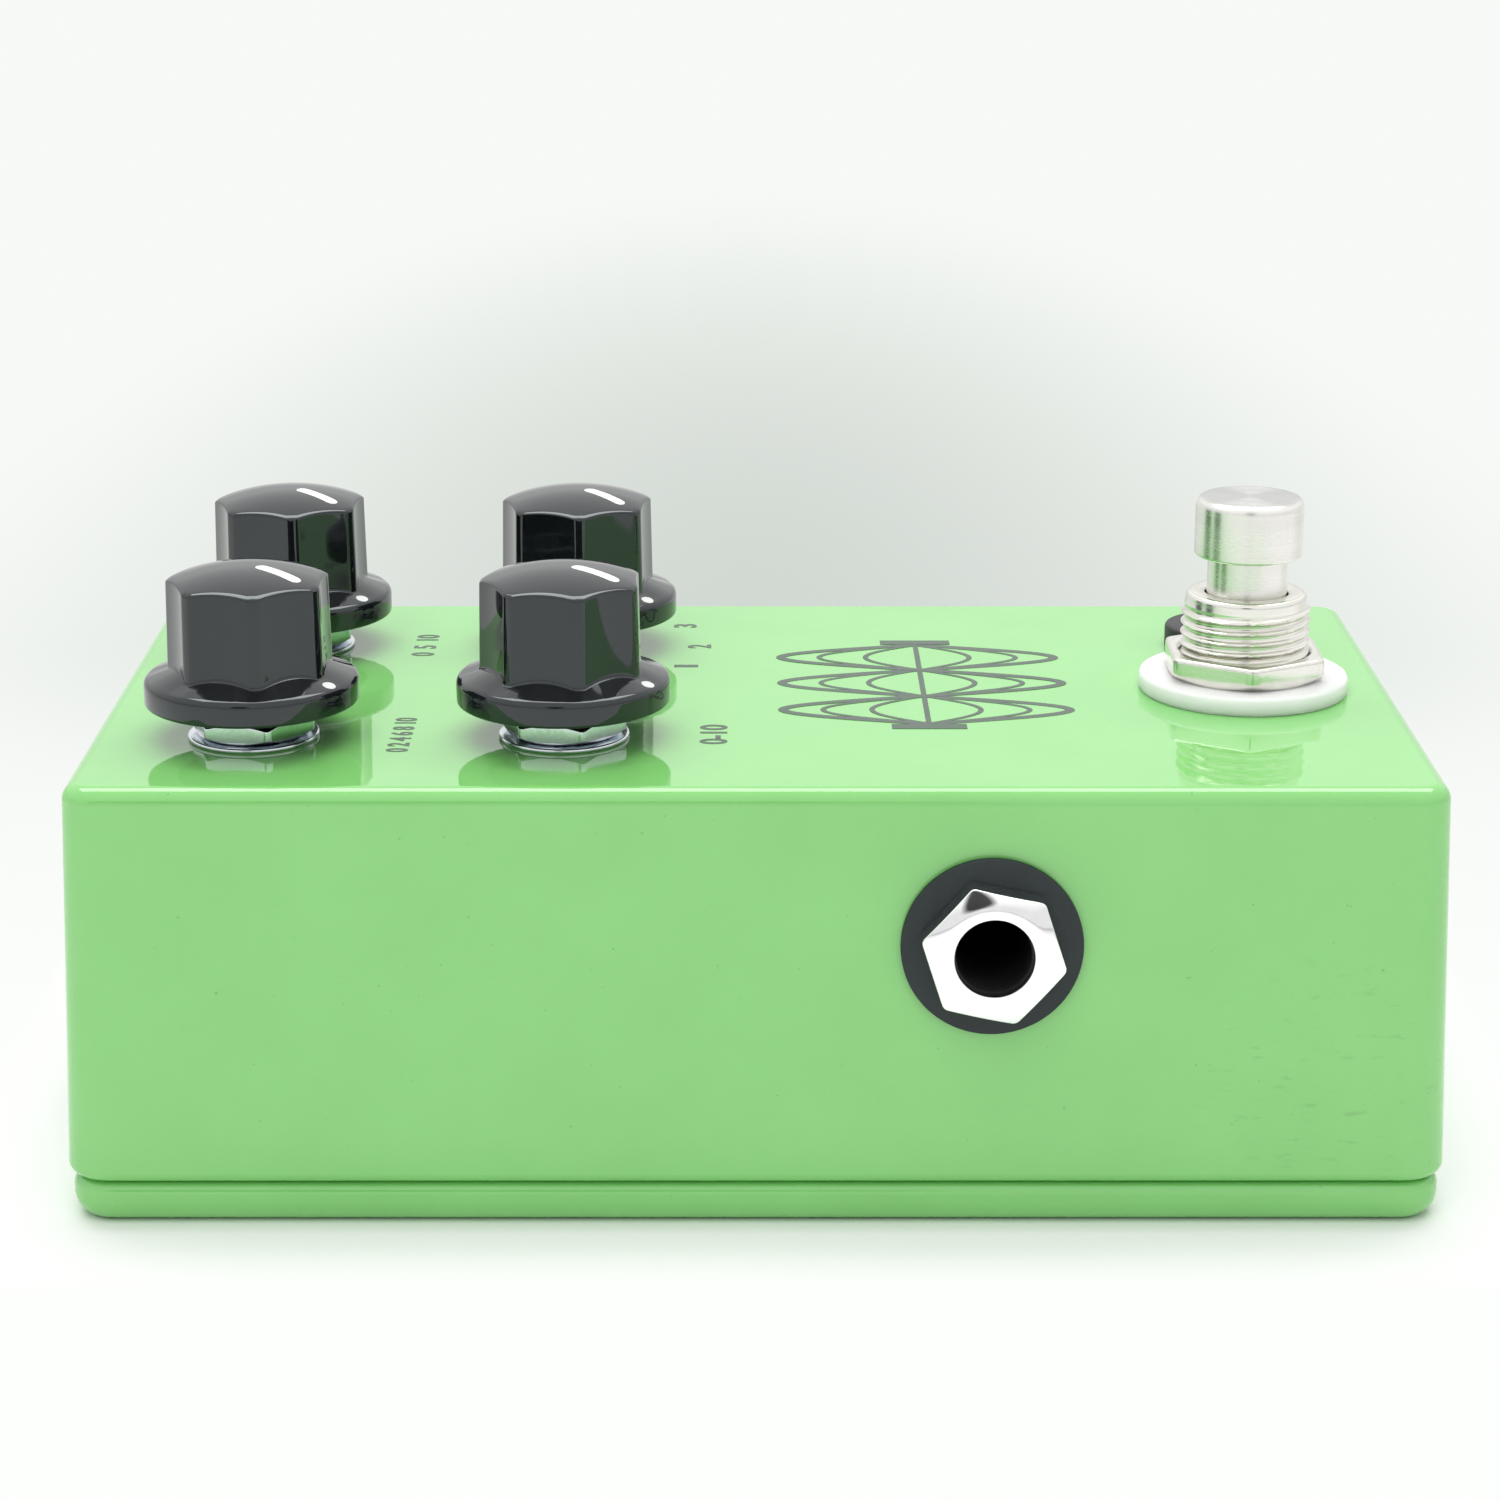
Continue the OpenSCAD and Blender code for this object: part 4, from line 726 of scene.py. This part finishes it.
# %% [markdown]
# The pointer is a white bar on the dome and a white dot on the skirt. Both are thin lozenges that follow the
# surface below them: rings of one outline, shrunk towards its middle, lifted a little and closed from below.

# %% Pointer marks
def on_dome(x, y):
    """Height of the dome at a place."""
    return dome(np.hypot(x, y))


def on_skirt(x, y):
    """Height of the skirt at a place: a straight line goes out from the grip's foot to the rim."""
    inner = grip_section(np.degrees(np.arctan2(y, x)))
    return rim_h + (foot(inner) - rim_h) * (skirt_r - np.hypot(x, y)) / (skirt_r - inner)


def mark(start, end, half_width, height, squeeze=1.0, lift=0.03, sides=96):
    """A bar with round ends from start to end along +X, lying on a surface of this height.

    Its outline has x = half its length times cos u, and y follows from the round end that x lies in.
    """
    u = np.linspace(0, 2 * np.pi, sides, endpoint=False) + np.pi / sides
    half_length, cap = (end - start) / 2, half_width * squeeze
    x = half_length * np.cos(u)
    into_cap = np.maximum(np.abs(x) - half_length + cap, 0) / cap
    y = half_width * np.sqrt(1 - into_cap**2) * np.sign(np.sin(u))
    size = np.array([0, 0.5, 0.85, 0.97, 1, 1, 0.5, 0])[:, None]
    rise = np.array([1, 1, 1, 0.9, 0.3, -2, -2, -2])[:, None] * lift
    x, y = (start + end) / 2 + size * x, size * y
    return np.stack([x, y, height(x, y) + rise], -1)


marks = [mark(1.1, 5.8, 0.6, on_dome), mark(8.1, 9.2, 0.64, on_skirt, squeeze=0.86)]


def spun(grid, turn, place):
    """A grid turned about its own upright axis by an angle in degrees and moved to its place."""
    c, s = np.cos(np.radians(turn)), np.sin(np.radians(turn))
    return grid @ np.array([[c, s, 0], [-s, c, 0], [0, 0, 1]]) + place


rest_turn = {"volume": -31, "drive": -33.5, "tone": -28, "mode": -37.5}
for name in controls:
    place = control_places[name] + (0, 0, heights_mm(name + "_knob")[0])
    put(name + "_knob_moulding", *skin(spun(knob_shape, rest_turn[name], place)), gloss_black,
        name + "_control", "black_gloss_plastic", [name + "_knob"], sharp=60)
    put(name + "_pointer", *skin(*[spun(grid, rest_turn[name], place) for grid in marks]), white_paint,
        name + "_control", sharp=60)

# %% [markdown]
# Under each knob a nut and a flat washer hold the control. The washer is stamped from sheet, so its edges
# are rolled round, and they shine as a thin line.

# %% Nuts and washers of the controls
def washer(r, hole, t, edge=0.12):
    """Outline of a flat ring with softened edges, standing on height 0."""
    return soften([(hole, 0, edge / 2), (r, 0, edge), (r, t, edge), (hole, t, edge / 2)])


control_flats, control_bore, nut_turn, flat_washer_r = 10, 3.55, 50, 5.85
low, high = heights_mm("control_nuts")
control_nut = nut(control_flats, control_bore, high - low, nut_turn)
put("control_nut_set", *skin(*[control_nut + place + (0, 0, low) for place in control_places.values()]),
    zinc, slot="zinc_plate", replaces=["control_nuts"])
low, high = heights_mm("control_flat_washers")
flat_washer = turned(washer(flat_washer_r, control_hole, high - low, 0.2), 128)
put("control_flat_washer_set",
    *skin(*[flat_washer + place + (0, 0, low) for place in control_places.values()]),
    zinc, slot="zinc_plate", replaces=["control_flat_washers"])

# %% [markdown]
# ## The stomp switch
#
# From the panel upwards there is a white nylon washer, a wide nut, a threaded bushing and the cap that the
# foot presses. The thread is a real helix: the radius depends on the height and on the angle at once, so
# that a ridge climbs one pitch in each turn. It fades out at the rounded mouth.

# %% Washer, nut and bushing
switch_place = np.array([switch_axis[0], switch_axis[1], 0])
stomp_washer_r, stomp_flats, stomp_bore, stomp_turn = 9.7, 14, 6.05, 29
low, high = heights_mm("footswitch_washer")
stomp_washer = turned(washer(stomp_washer_r, switch_hole, high - low, 0.35), 128)
put("stomp_washer", *skin(stomp_washer + switch_place + (0, 0, low)), nylon, slot="white_nylon",
    replaces=["footswitch_washer"])
low, high = heights_mm("footswitch_nut")
stomp_nut = nut(stomp_flats, stomp_bore, high - low, stomp_turn, foot=0.99, face=1.2, edge=0.3)
put("stomp_nut", *skin(stomp_nut + switch_place + (0, 0, low)), nickel, slot="satin_nickel",
    replaces=["footswitch_nut"])

thread_r, thread_depth, pitch, mouth_r, bore_r = 6.0, 0.38, 1.0, 1.1, 3.8
thread_columns, thread_rows, thread_fade = 120, 10, 0.5
low, high = heights_mm("footswitch_bushing")


def thread(r, depth, pitch, low, high):
    """A screw thread: between ridges that climb one pitch in each turn the radius is less by depth.

    With p = height / pitch - angle / full turn, the ridge is ((1 + cos(2 pi p)) / 2)^2.
    """
    height = np.linspace(low, high, int((high - low) / pitch * thread_rows) + 1)[:, None]
    phase = height / pitch - np.linspace(0, 1, thread_columns, endpoint=False)
    ridge = (0.5 + 0.5 * np.cos(2 * np.pi * phase)) ** 2
    fade = np.clip((high - height) / thread_fade, 0, 1) * np.clip((height - low) / thread_fade, 0, 1)
    return np.stack([r - depth * (1 - ridge * fade), height + 0 * phase], 1)


mouth = soften([(thread_r - thread_depth, high - mouth_r, 0), (thread_r - thread_depth, high, 1.0),
                (bore_r, high, 0.6), (bore_r, low, 0)], closed=False, steps=8)
shank = thread(thread_r, thread_depth, pitch, low, high - mouth_r)
rows = np.concatenate([shank, np.broadcast_to(mouth, (*mouth.shape[:2], shank.shape[2])), shank[:1]])
put("stomp_bushing", *skin(turned(rows, thread_columns) + switch_place), nickel, slot="satin_nickel",
    replaces=["footswitch_bushing"])

# %% [markdown]
# The cap, its stem and the collar that stops it are one turned piece, and it slides in the bushing. Inside
# the switch a coil spring pushes it up. The spring can't simply ride on a body, because one end stays and
# the other moves, so it is a tube along a helix, with a mesh of its own. The cap's face is ground flat, and
# its colour is painted greyer than its turned side, as painted shade for the dimmer light on top, so the
# colour changes with the height.

# %% Cap and spring
base, tip = heights_mm("footswitch_plunger")
cap_r, stem_r, cap_z, collar_r, collar_low, collar_high = 5.0, 3.7, 53.0, 4.3, base + 0.6, base + 1.6
# Painted shade: the flat face's colour turns greyer at the top, standing in for the dimmer light it reflects.
painted_shade_grey = (0.56, 0.565, 0.545, 1)
tree = brushed_nickel.node_tree
paint = tree.nodes["Principled BSDF"].inputs["Base Color"]
place = add(tree, "TexCoord", {}).outputs["Object"]
height = add(tree, "SeparateXYZ", {0: place}).outputs["Z"]
painted_shade_share = spread(tree, height, (tip - 0.2) * mm, (tip - 0.03) * mm, 0, 1)
tree.links.new(mixed(tree, painted_shade_share, paint.links[0].from_socket, painted_shade_grey), paint)
cap = soften([(0, base, 0), (stem_r, base, 0.2), (stem_r, collar_low, 0), (collar_r, collar_low, 0.1),
              (collar_r, collar_high, 0.1), (stem_r, collar_high, 0), (stem_r, cap_z, 0.15),
              (cap_r, cap_z, 0.3), (cap_r, tip, 0.9), (0, tip, 0)], closed=False, steps=7)
put("stomp_cap", *skin(turned(cap, 144) + switch_place), brushed_nickel, "stomp_plunger", "satin_nickel",
    ["footswitch_plunger"])


def tube(path, radius, sides):
    """A circle carried along a path: each ring stands square to the path's direction."""
    along = np.gradient(path, axis=0)
    along /= np.linalg.norm(along, axis=1, keepdims=True)
    side = np.cross(along, (0.02, 0.03, 1.0))
    side /= np.linalg.norm(side, axis=1, keepdims=True)
    angle = np.linspace(0, 2 * np.pi, sides, endpoint=False)[None, :, None]
    ring = np.cos(angle) * side[:, None] + np.sin(angle) * np.cross(along, side)[:, None]
    return path[:, None] + radius * ring


low, high = box_mm("footswitch_spring")
wire_r, coils = 0.4, 6
coil_r = (high[0] - low[0]) / 2 - wire_r
t = np.linspace(0, 1, 36 * coils)
turn = 2 * np.pi * coils * t
climb = low[2] + wire_r + t * (high[2] - low[2] - 2 * wire_r)
helix = np.stack([coil_r * np.cos(turn), coil_r * np.sin(turn), climb], -1)
steel = grained("spring_steel", (0.42, 0.42, 0.43), (0.58, 0.58, 0.59), 0.2, (0.25, 0.4), 0.003, metallic=1.0)
spring = put("stomp_spring", *capped(tube(helix + switch_place, wire_r, 10)), steel, slot="spring_steel",
             replaces=["footswitch_spring"])
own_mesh(spring)

# %% [markdown]
# ## The status light
#
# A black bezel holds a clear lamp. The lamp is a solid of clear resin with a dome on top, and inside it two
# posts carry a little cup for the crystal. Modelled inside the clear resin, they give the lamp its depth.

# %% Bezel and lamp
light = middle_mm("led_bezel") * (1, 1, 0)
low, high = heights_mm("led_bezel")
led_r, led_rim_r, led_seat, bezel_body_r, bezel_r = 2.5, 2.9, low + 2, 3.9, 4.75
lamp_hole, rim_hole = led_r + 0.05, led_rim_r + 0.05
bezel = soften([(lamp_hole, led_seat, 0), (rim_hole, led_seat, 0), (rim_hole, low, 0.1),
                (bezel_body_r, low, 0.2), (bezel_body_r, panel_z, 0), (bezel_r, panel_z, 0.1),
                (bezel_r, high, 0.45), (led_r + 0.8, high, 0.2), (lamp_hole, high - 0.7, 0.1)])
put("light_bezel", *skin(turned(bezel, 96) + light), matte_black, slot="black_matte_plastic",
    replaces=["led_bezel"])

clear = grained("clear_resin", (0.93, 0.95, 0.96), (0.97, 0.98, 0.99), 0.8, (0.03, 0.08), 0.001,
                transmission_weight=1.0, IOR=1.5)
tin = grained("tinned_metal", (0.62, 0.60, 0.55), (0.76, 0.74, 0.69), 0.3, (0.25, 0.42), 0.003, metallic=1.0)
lamp_low, lamp_high = heights_mm("led_lamp")
lamp_rim = led_seat - 0.05
lamp_dome = arc((0, lamp_high - led_r), led_r, 0, 90, 16)[..., None]
lamp_foot = soften([(0, led_seat - 1, 0), (led_rim_r, led_seat - 1, 0.1), (led_rim_r, lamp_rim, 0.1),
                    (led_r, lamp_rim, 0)], closed=False)
put("lamp_resin", *skin(turned(np.concatenate([lamp_foot, lamp_dome]), 64) + light), clear, slot="clear_lens",
    replaces=["led_lamp"])
cup_low, cup_floor, cup_high = lamp_high - 4.5, lamp_high - 4.1, lamp_high - 3.3
lead_pitch, cup_y = 2.54, -0.55
post = around([(0.05, lamp_low), (0.05, lamp_high - 4.6)], 0.2, 0.2, steps=3)
cup = turned(soften([(0, cup_low, 0), (0.5, cup_low, 0.05), (1.05, cup_high, 0.05), (0.95, cup_high, 0.02),
                     (0.4, cup_floor, 0.05), (0, cup_floor, 0)], closed=False), 32)
posts = capped(*[post + light + (0, side * lead_pitch / 2, 0) for side in (-1, 1)])
put("lamp_posts", *joined(posts, skin(cup + light + (0, cup_y, 0))), tin, slot="tinned_brass")

# %% [markdown]
# ## The sockets
#
# Each jack has a fibre washer and a chromed nut on the outside of the wall. The nut's face is flat only round
# the mouth. Further out it falls away as a shallow cone, so each side of it mirrors another part of the room.
# The parts are turned round +Z and then seated: their X, Y and Z become the wall's right, up and out.

# %% Jack nuts and washers
def seated(grid, mount):
    """A grid made round +Z, put on the outside of the wall at a mount."""
    place, axes = seats[mount]
    return place + grid @ axes


jack_flats, jack_nut_h, jack_mouth, jack_washer_t, jack_washer_r = 11.1, 3.1, 3.46, 0.8, 7.9
jack_bore, lip_h, jack_turn, power_flats, power_bore, power_nut_h = 4.5, 0.4, 48, 14, 5.65, 2.8
rim, crown, slope = hexagon(jack_flats), jack_mouth + 0.9, np.tan(np.radians(16))
jack_outline = soften([
    (jack_bore, 0, 0), (rim - 0.1, 0, 0.05), (rim, 0.1, 0.05), (rim, jack_nut_h - (rim - crown) * slope, 0.1),
    (crown, jack_nut_h, 0.6), (jack_mouth, jack_nut_h, 0.05), (jack_mouth, jack_nut_h - lip_h, 0.03),
    (jack_bore, jack_nut_h - lip_h, 0)])
jack_nut = turned(jack_outline, nut_columns, jack_turn) + (0, 0, jack_washer_t)
jack_washer = turned(washer(jack_washer_r, wall_holes["output_jack"], jack_washer_t, 0.15), 128)
for name in ("output_jack", "input_jack"):
    put(name + "_chrome_nut", *skin(seated(jack_nut, name)), chrome, slot="bright_chrome",
        replaces=[name + "_nut"])
    put(name + "_fibre_washer", *skin(seated(jack_washer, name)), fibre_black, slot="black_fibre",
        replaces=[name + "_washer"])
power_nut = nut(power_flats, power_bore, power_nut_h, edge=0.2)
put("power_nut", *skin(seated(power_nut, "dc_socket")), matte_black, slot="black_matte_plastic",
    replaces=["dc_socket_nut"])

# %% [markdown]
# ## The parts that the CAD model shows itself
#
# Everything inside the box, and the screws below it, keeps its CAD shape. Each still gets a finish with a
# grain of its own, so that an opened pedal looks right too.

# %% Finishes for the inner parts
inner_finishes = {"zinc_plate": zinc, "satin_nickel": nickel, "black_matte_plastic": matte_black,
                  "spring_steel": steel, "tinned_brass": tin}
metals = {
    "brass": ("brass", (0.62, 0.42, 0.14), (0.76, 0.55, 0.22), 0.4, (0.22, 0.38), 0.003),
    "aluminium_shaft": ("aluminium", (0.66, 0.67, 0.68), (0.78, 0.79, 0.80), 0.2, (0.25, 0.4), 0.003),
    "steel_case": ("steel_case", (0.48, 0.49, 0.50), (0.62, 0.63, 0.64), 0.5, (0.3, 0.45), 0.004),
}
plastics = {
    "blue_plastic": ((0.02, 0.10, 0.34), (0.03, 0.14, 0.42), 0.4, (0.35, 0.5), 0.004),
    "board_laminate": ((0.02, 0.14, 0.06), (0.04, 0.22, 0.09), 0.9, (0.3, 0.45), 0.006),
    "chip_plastic": ((0.012, 0.012, 0.013), (0.024, 0.024, 0.025), 0.15, (0.5, 0.65), 0.006),
    "capacitor_sleeve": ((0.02, 0.03, 0.10), (0.03, 0.05, 0.15), 0.5, (0.25, 0.4), 0.003),
    "resistor_body": ((0.46, 0.33, 0.19), (0.60, 0.45, 0.28), 0.3, (0.35, 0.5), 0.005),
    "wire_sleeve": ((0.46, 0.035, 0.025), (0.60, 0.055, 0.04), 0.4, (0.35, 0.5), 0.004),
}
inner_finishes |= {slot: grained(*recipe, metallic=1.0) for slot, recipe in metals.items()}
inner_finishes |= {slot: grained(slot, *recipe) for slot, recipe in plastics.items()}
dressed = 0
for name, node in frame["nodes"].items():
    if not node.hide_render:
        node.data.materials[0] = inner_finishes[node.data.materials[0].name.split(".")[0]]
        dressed += 1
print("dressed", dressed, "CAD nodes")

# %% [markdown]
# ## Floor, light and camera
#
# The pedal stands on white paper. Close to it the paper is plain diffuse white, so it takes the pedal's
# shadow.

# %% Paper
paper, tree, shader = new_finish("white_paper", {"Roughness": 0.85})
place = add(tree, "TexCoord", {}).outputs["Object"]
white = mixed(tree, noise(tree, place, 2, 2), (0.92, 0.92, 0.92, 1), (0.94, 0.94, 0.94, 1))
tree.links.new(white, shader.inputs["Base Color"])
print("paper nodes for the plain white:", len(tree.nodes))

# %% [markdown]
# Away from the pedal the eye sees the paper as a soft tone: whitest in front, and greyer and a little green
# right behind the pedal. That patch is a painted shadow of the pedal, with painted green light thrown back
# from the box. Only camera rays and what gloss mirrors from behind get this glow. The distance past the
# edges of the box blends it in, so the shadow close by stays.

# %% The paper's tone
# Painted shadow: the tone is greyest, and the tint greenest, round a spot just behind the pedal.
painted_shadow_y, painted_shadow_r, darkest, lightest, front_lift, back_y = 0.17, 0.145, 0.69, 0.95, 0.05, 0.1
painted_shadow_tint, far_tint = (0.93, 1.0, 0.935, 1), (0.985, 1.0, 0.98, 1)
shadow_w, foot_share, foot_glow = 13.0, 0.12, 0.35
axes = add(tree, "SeparateXYZ", {0: place})
depth = maths(tree, "SUBTRACT", axes.outputs["Y"], painted_shadow_y)
depth = maths(tree, "MAXIMUM", spread(tree, depth, 0, 1, 0, 0.3), spread(tree, depth, -1, 0, 1.4, 0))
from_painted_shadow = add(tree, "CombineXYZ", {"X": axes.outputs["X"], "Y": depth}).outputs[0]
apart = vectors(tree, "LENGTH", from_painted_shadow)
tones = {"Value": apart, "From Max": painted_shadow_r, "To Min": darkest, "To Max": lightest}
tone = add(tree, "MapRange", tones, interpolation_type="SMOOTHSTEP").outputs[0]
tone = maths(tree, "ADD", tone, spread(tree, axes.outputs["Y"], 0, back_y, front_lift, 0))
tint = mixed(tree, spread(tree, apart, 0, 0.15, 0, 1), painted_shadow_tint, far_tint)
glow = add(tree, "Emission", {"Color": tint, "Strength": tone})
ray = add(tree, "LightPath", {}).outputs
behind = spread(tree, axes.outputs["Y"], 0, back_y, 0, 1)
by_eye = maths(tree, "MAXIMUM", ray["Is Camera Ray"], maths(tree, "MULTIPLY", ray["Is Glossy Ray"], behind))
sides = [maths(tree, "ABSOLUTE", axes.outputs[way]) for way in ("X", "Y")]
past = [spread(tree, side, edge * mm, (edge + shadow_w) * mm, 0, 1) for side, edge in zip(sides, half)]
far = maths(tree, "MAXIMUM", *past)
far = maths(tree, "MAXIMUM", far, spread(tree, far, 0, foot_share, 0, foot_glow))
seen = maths(tree, "MULTIPLY", far, by_eye)
both = add(tree, "MixShader", {0: seen, 1: shader.outputs[0], 2: glow.outputs[0]})
tree.links.new(both.outputs[0], tree.nodes["Material Output"].inputs["Surface"])
print("paper nodes with the tone:", len(tree.nodes))

# %% [markdown]
# One big square of this paper is the whole floor. It is stage, so it doesn't belong to the pedal.

# %% Floor
reach = 4.0
sheet = bpy.data.meshes.new("floor")
corners = [(-reach, -reach, 0), (reach, -reach, 0), (reach, reach, 0), (-reach, reach, 0)]
sheet.from_pydata(corners, [], [(0, 1, 2, 3)])
sheet.materials.append(paper)
floor = bpy.data.objects.new("floor", sheet)
scene.collection.objects.link(floor)
print("the floor is", 2 * reach, "m wide")

# %% [markdown]
# The light is that of a small photo tent: white all round, and a little brighter higher up. Only the camera
# itself is a dark round spot in it, as the chromed nut of the jack shows. A long soft lamp hangs above and a
# little behind, so that it shines in every edge that is rounded towards the camera and in no flat side. A
# weaker one lights the front, and gloss doesn't see it.

# %% Light
to_camera, spot_outer, spot_inner, spot_dark = (-0.10, -0.95, 0.29), 12, 8, 0.06
tent_low, tent_high, diffuse_light = 0.88, 1.15, 0.52
world = bpy.data.worlds.new("photo_tent")
scene.world = world
world.use_nodes = True
tree = world.node_tree
ray = add(tree, "LightPath", {}).outputs
way = add(tree, "TexCoord", {}).outputs["Generated"]
height = add(tree, "SeparateXYZ", {0: way}).outputs["Z"]
facing = vectors(tree, "DOT_PRODUCT", way, to_camera)
spot = spread(tree, facing, np.cos(np.radians(spot_outer)), np.cos(np.radians(spot_inner)), 1, spot_dark)
tent = maths(tree, "MULTIPLY", spread(tree, height, 0.16, 0.30, tent_low, tent_high), spot)
strength = add(tree, "Mix", {0: ray["Is Glossy Ray"], 2: diffuse_light, 3: tent}).outputs[0]
plain = maths(tree, "MAXIMUM", ray["Is Camera Ray"], ray["Is Transmission Ray"])
strength = add(tree, "Mix", {0: plain, 2: strength, 3: 1.0}).outputs[0]
tree.links.new(strength, tree.nodes["Background"].inputs["Strength"])
tree.nodes["Background"].inputs["Color"].default_value = (1, 1, 1, 1)


def stand(holder, right, up, back, place):
    """Put a lamp or a camera at a place, with its own axes along right, up and back."""
    rows = np.stack([right, up, back, place], 1)
    holder.matrix_world = Matrix(np.vstack([rows, (0, 0, 0, 1)]).tolist())


def soft_lamp(name, length, width, power, place, target, in_gloss):
    """An area lamp at a place, turned to face a target, both in metres; gloss may see it or not."""
    lamp = bpy.data.lights.new(name, "AREA")
    lamp.shape, lamp.size, lamp.size_y, lamp.energy = "RECTANGLE", length, width, power
    holder = bpy.data.objects.new(name, lamp)
    holder.visible_camera, holder.visible_glossy = False, in_gloss
    scene.collection.objects.link(holder)
    back = np.array(place, float) - np.array(target, float)
    back /= np.linalg.norm(back)
    right = np.cross((0, 1, 0.001), back)
    right /= np.linalg.norm(right)
    stand(holder, right, np.cross(back, right), back, place)
    print(name, "gives", power, "W")


soft_lamp("top_lamp", 1.0, 0.43, 6.0, (0.0, 0.25, 0.85), (0, 0, 0.03), True)
soft_lamp("front_lamp", 0.9, 0.9, 4.6, (-0.1, -0.6, 0.9), (0, 0, 0.03), False)

# %% [markdown]
# The camera stands where the photographer's stood: a third of a metre away, looking down by 17 degrees.

# %% Camera
yaw, pitch, roll, camera_place = 0.00294, 0.295993, 0.001007, (-0.00144, -0.32085, 0.131804)
forward = np.array([np.sin(yaw) * np.cos(pitch), np.cos(yaw) * np.cos(pitch), -np.sin(pitch)])
level_right = np.array([np.cos(yaw), -np.sin(yaw), 0])
rise = np.cross(level_right, forward)
right = np.cos(roll) * level_right + np.sin(roll) * rise
up = np.cross(right, forward)
eye = bpy.data.cameras.new("camera")
eye.sensor_width, eye.lens, eye.clip_start, eye.clip_end = 36.0, 85.37, 0.01, 20
camera = bpy.data.objects.new("camera", eye)
scene.collection.objects.link(camera)
stand(camera, right, up, -forward, camera_place)
scene.camera = camera
scene.view_settings.view_transform = "Standard"
print("camera looks along", forward.round(3))
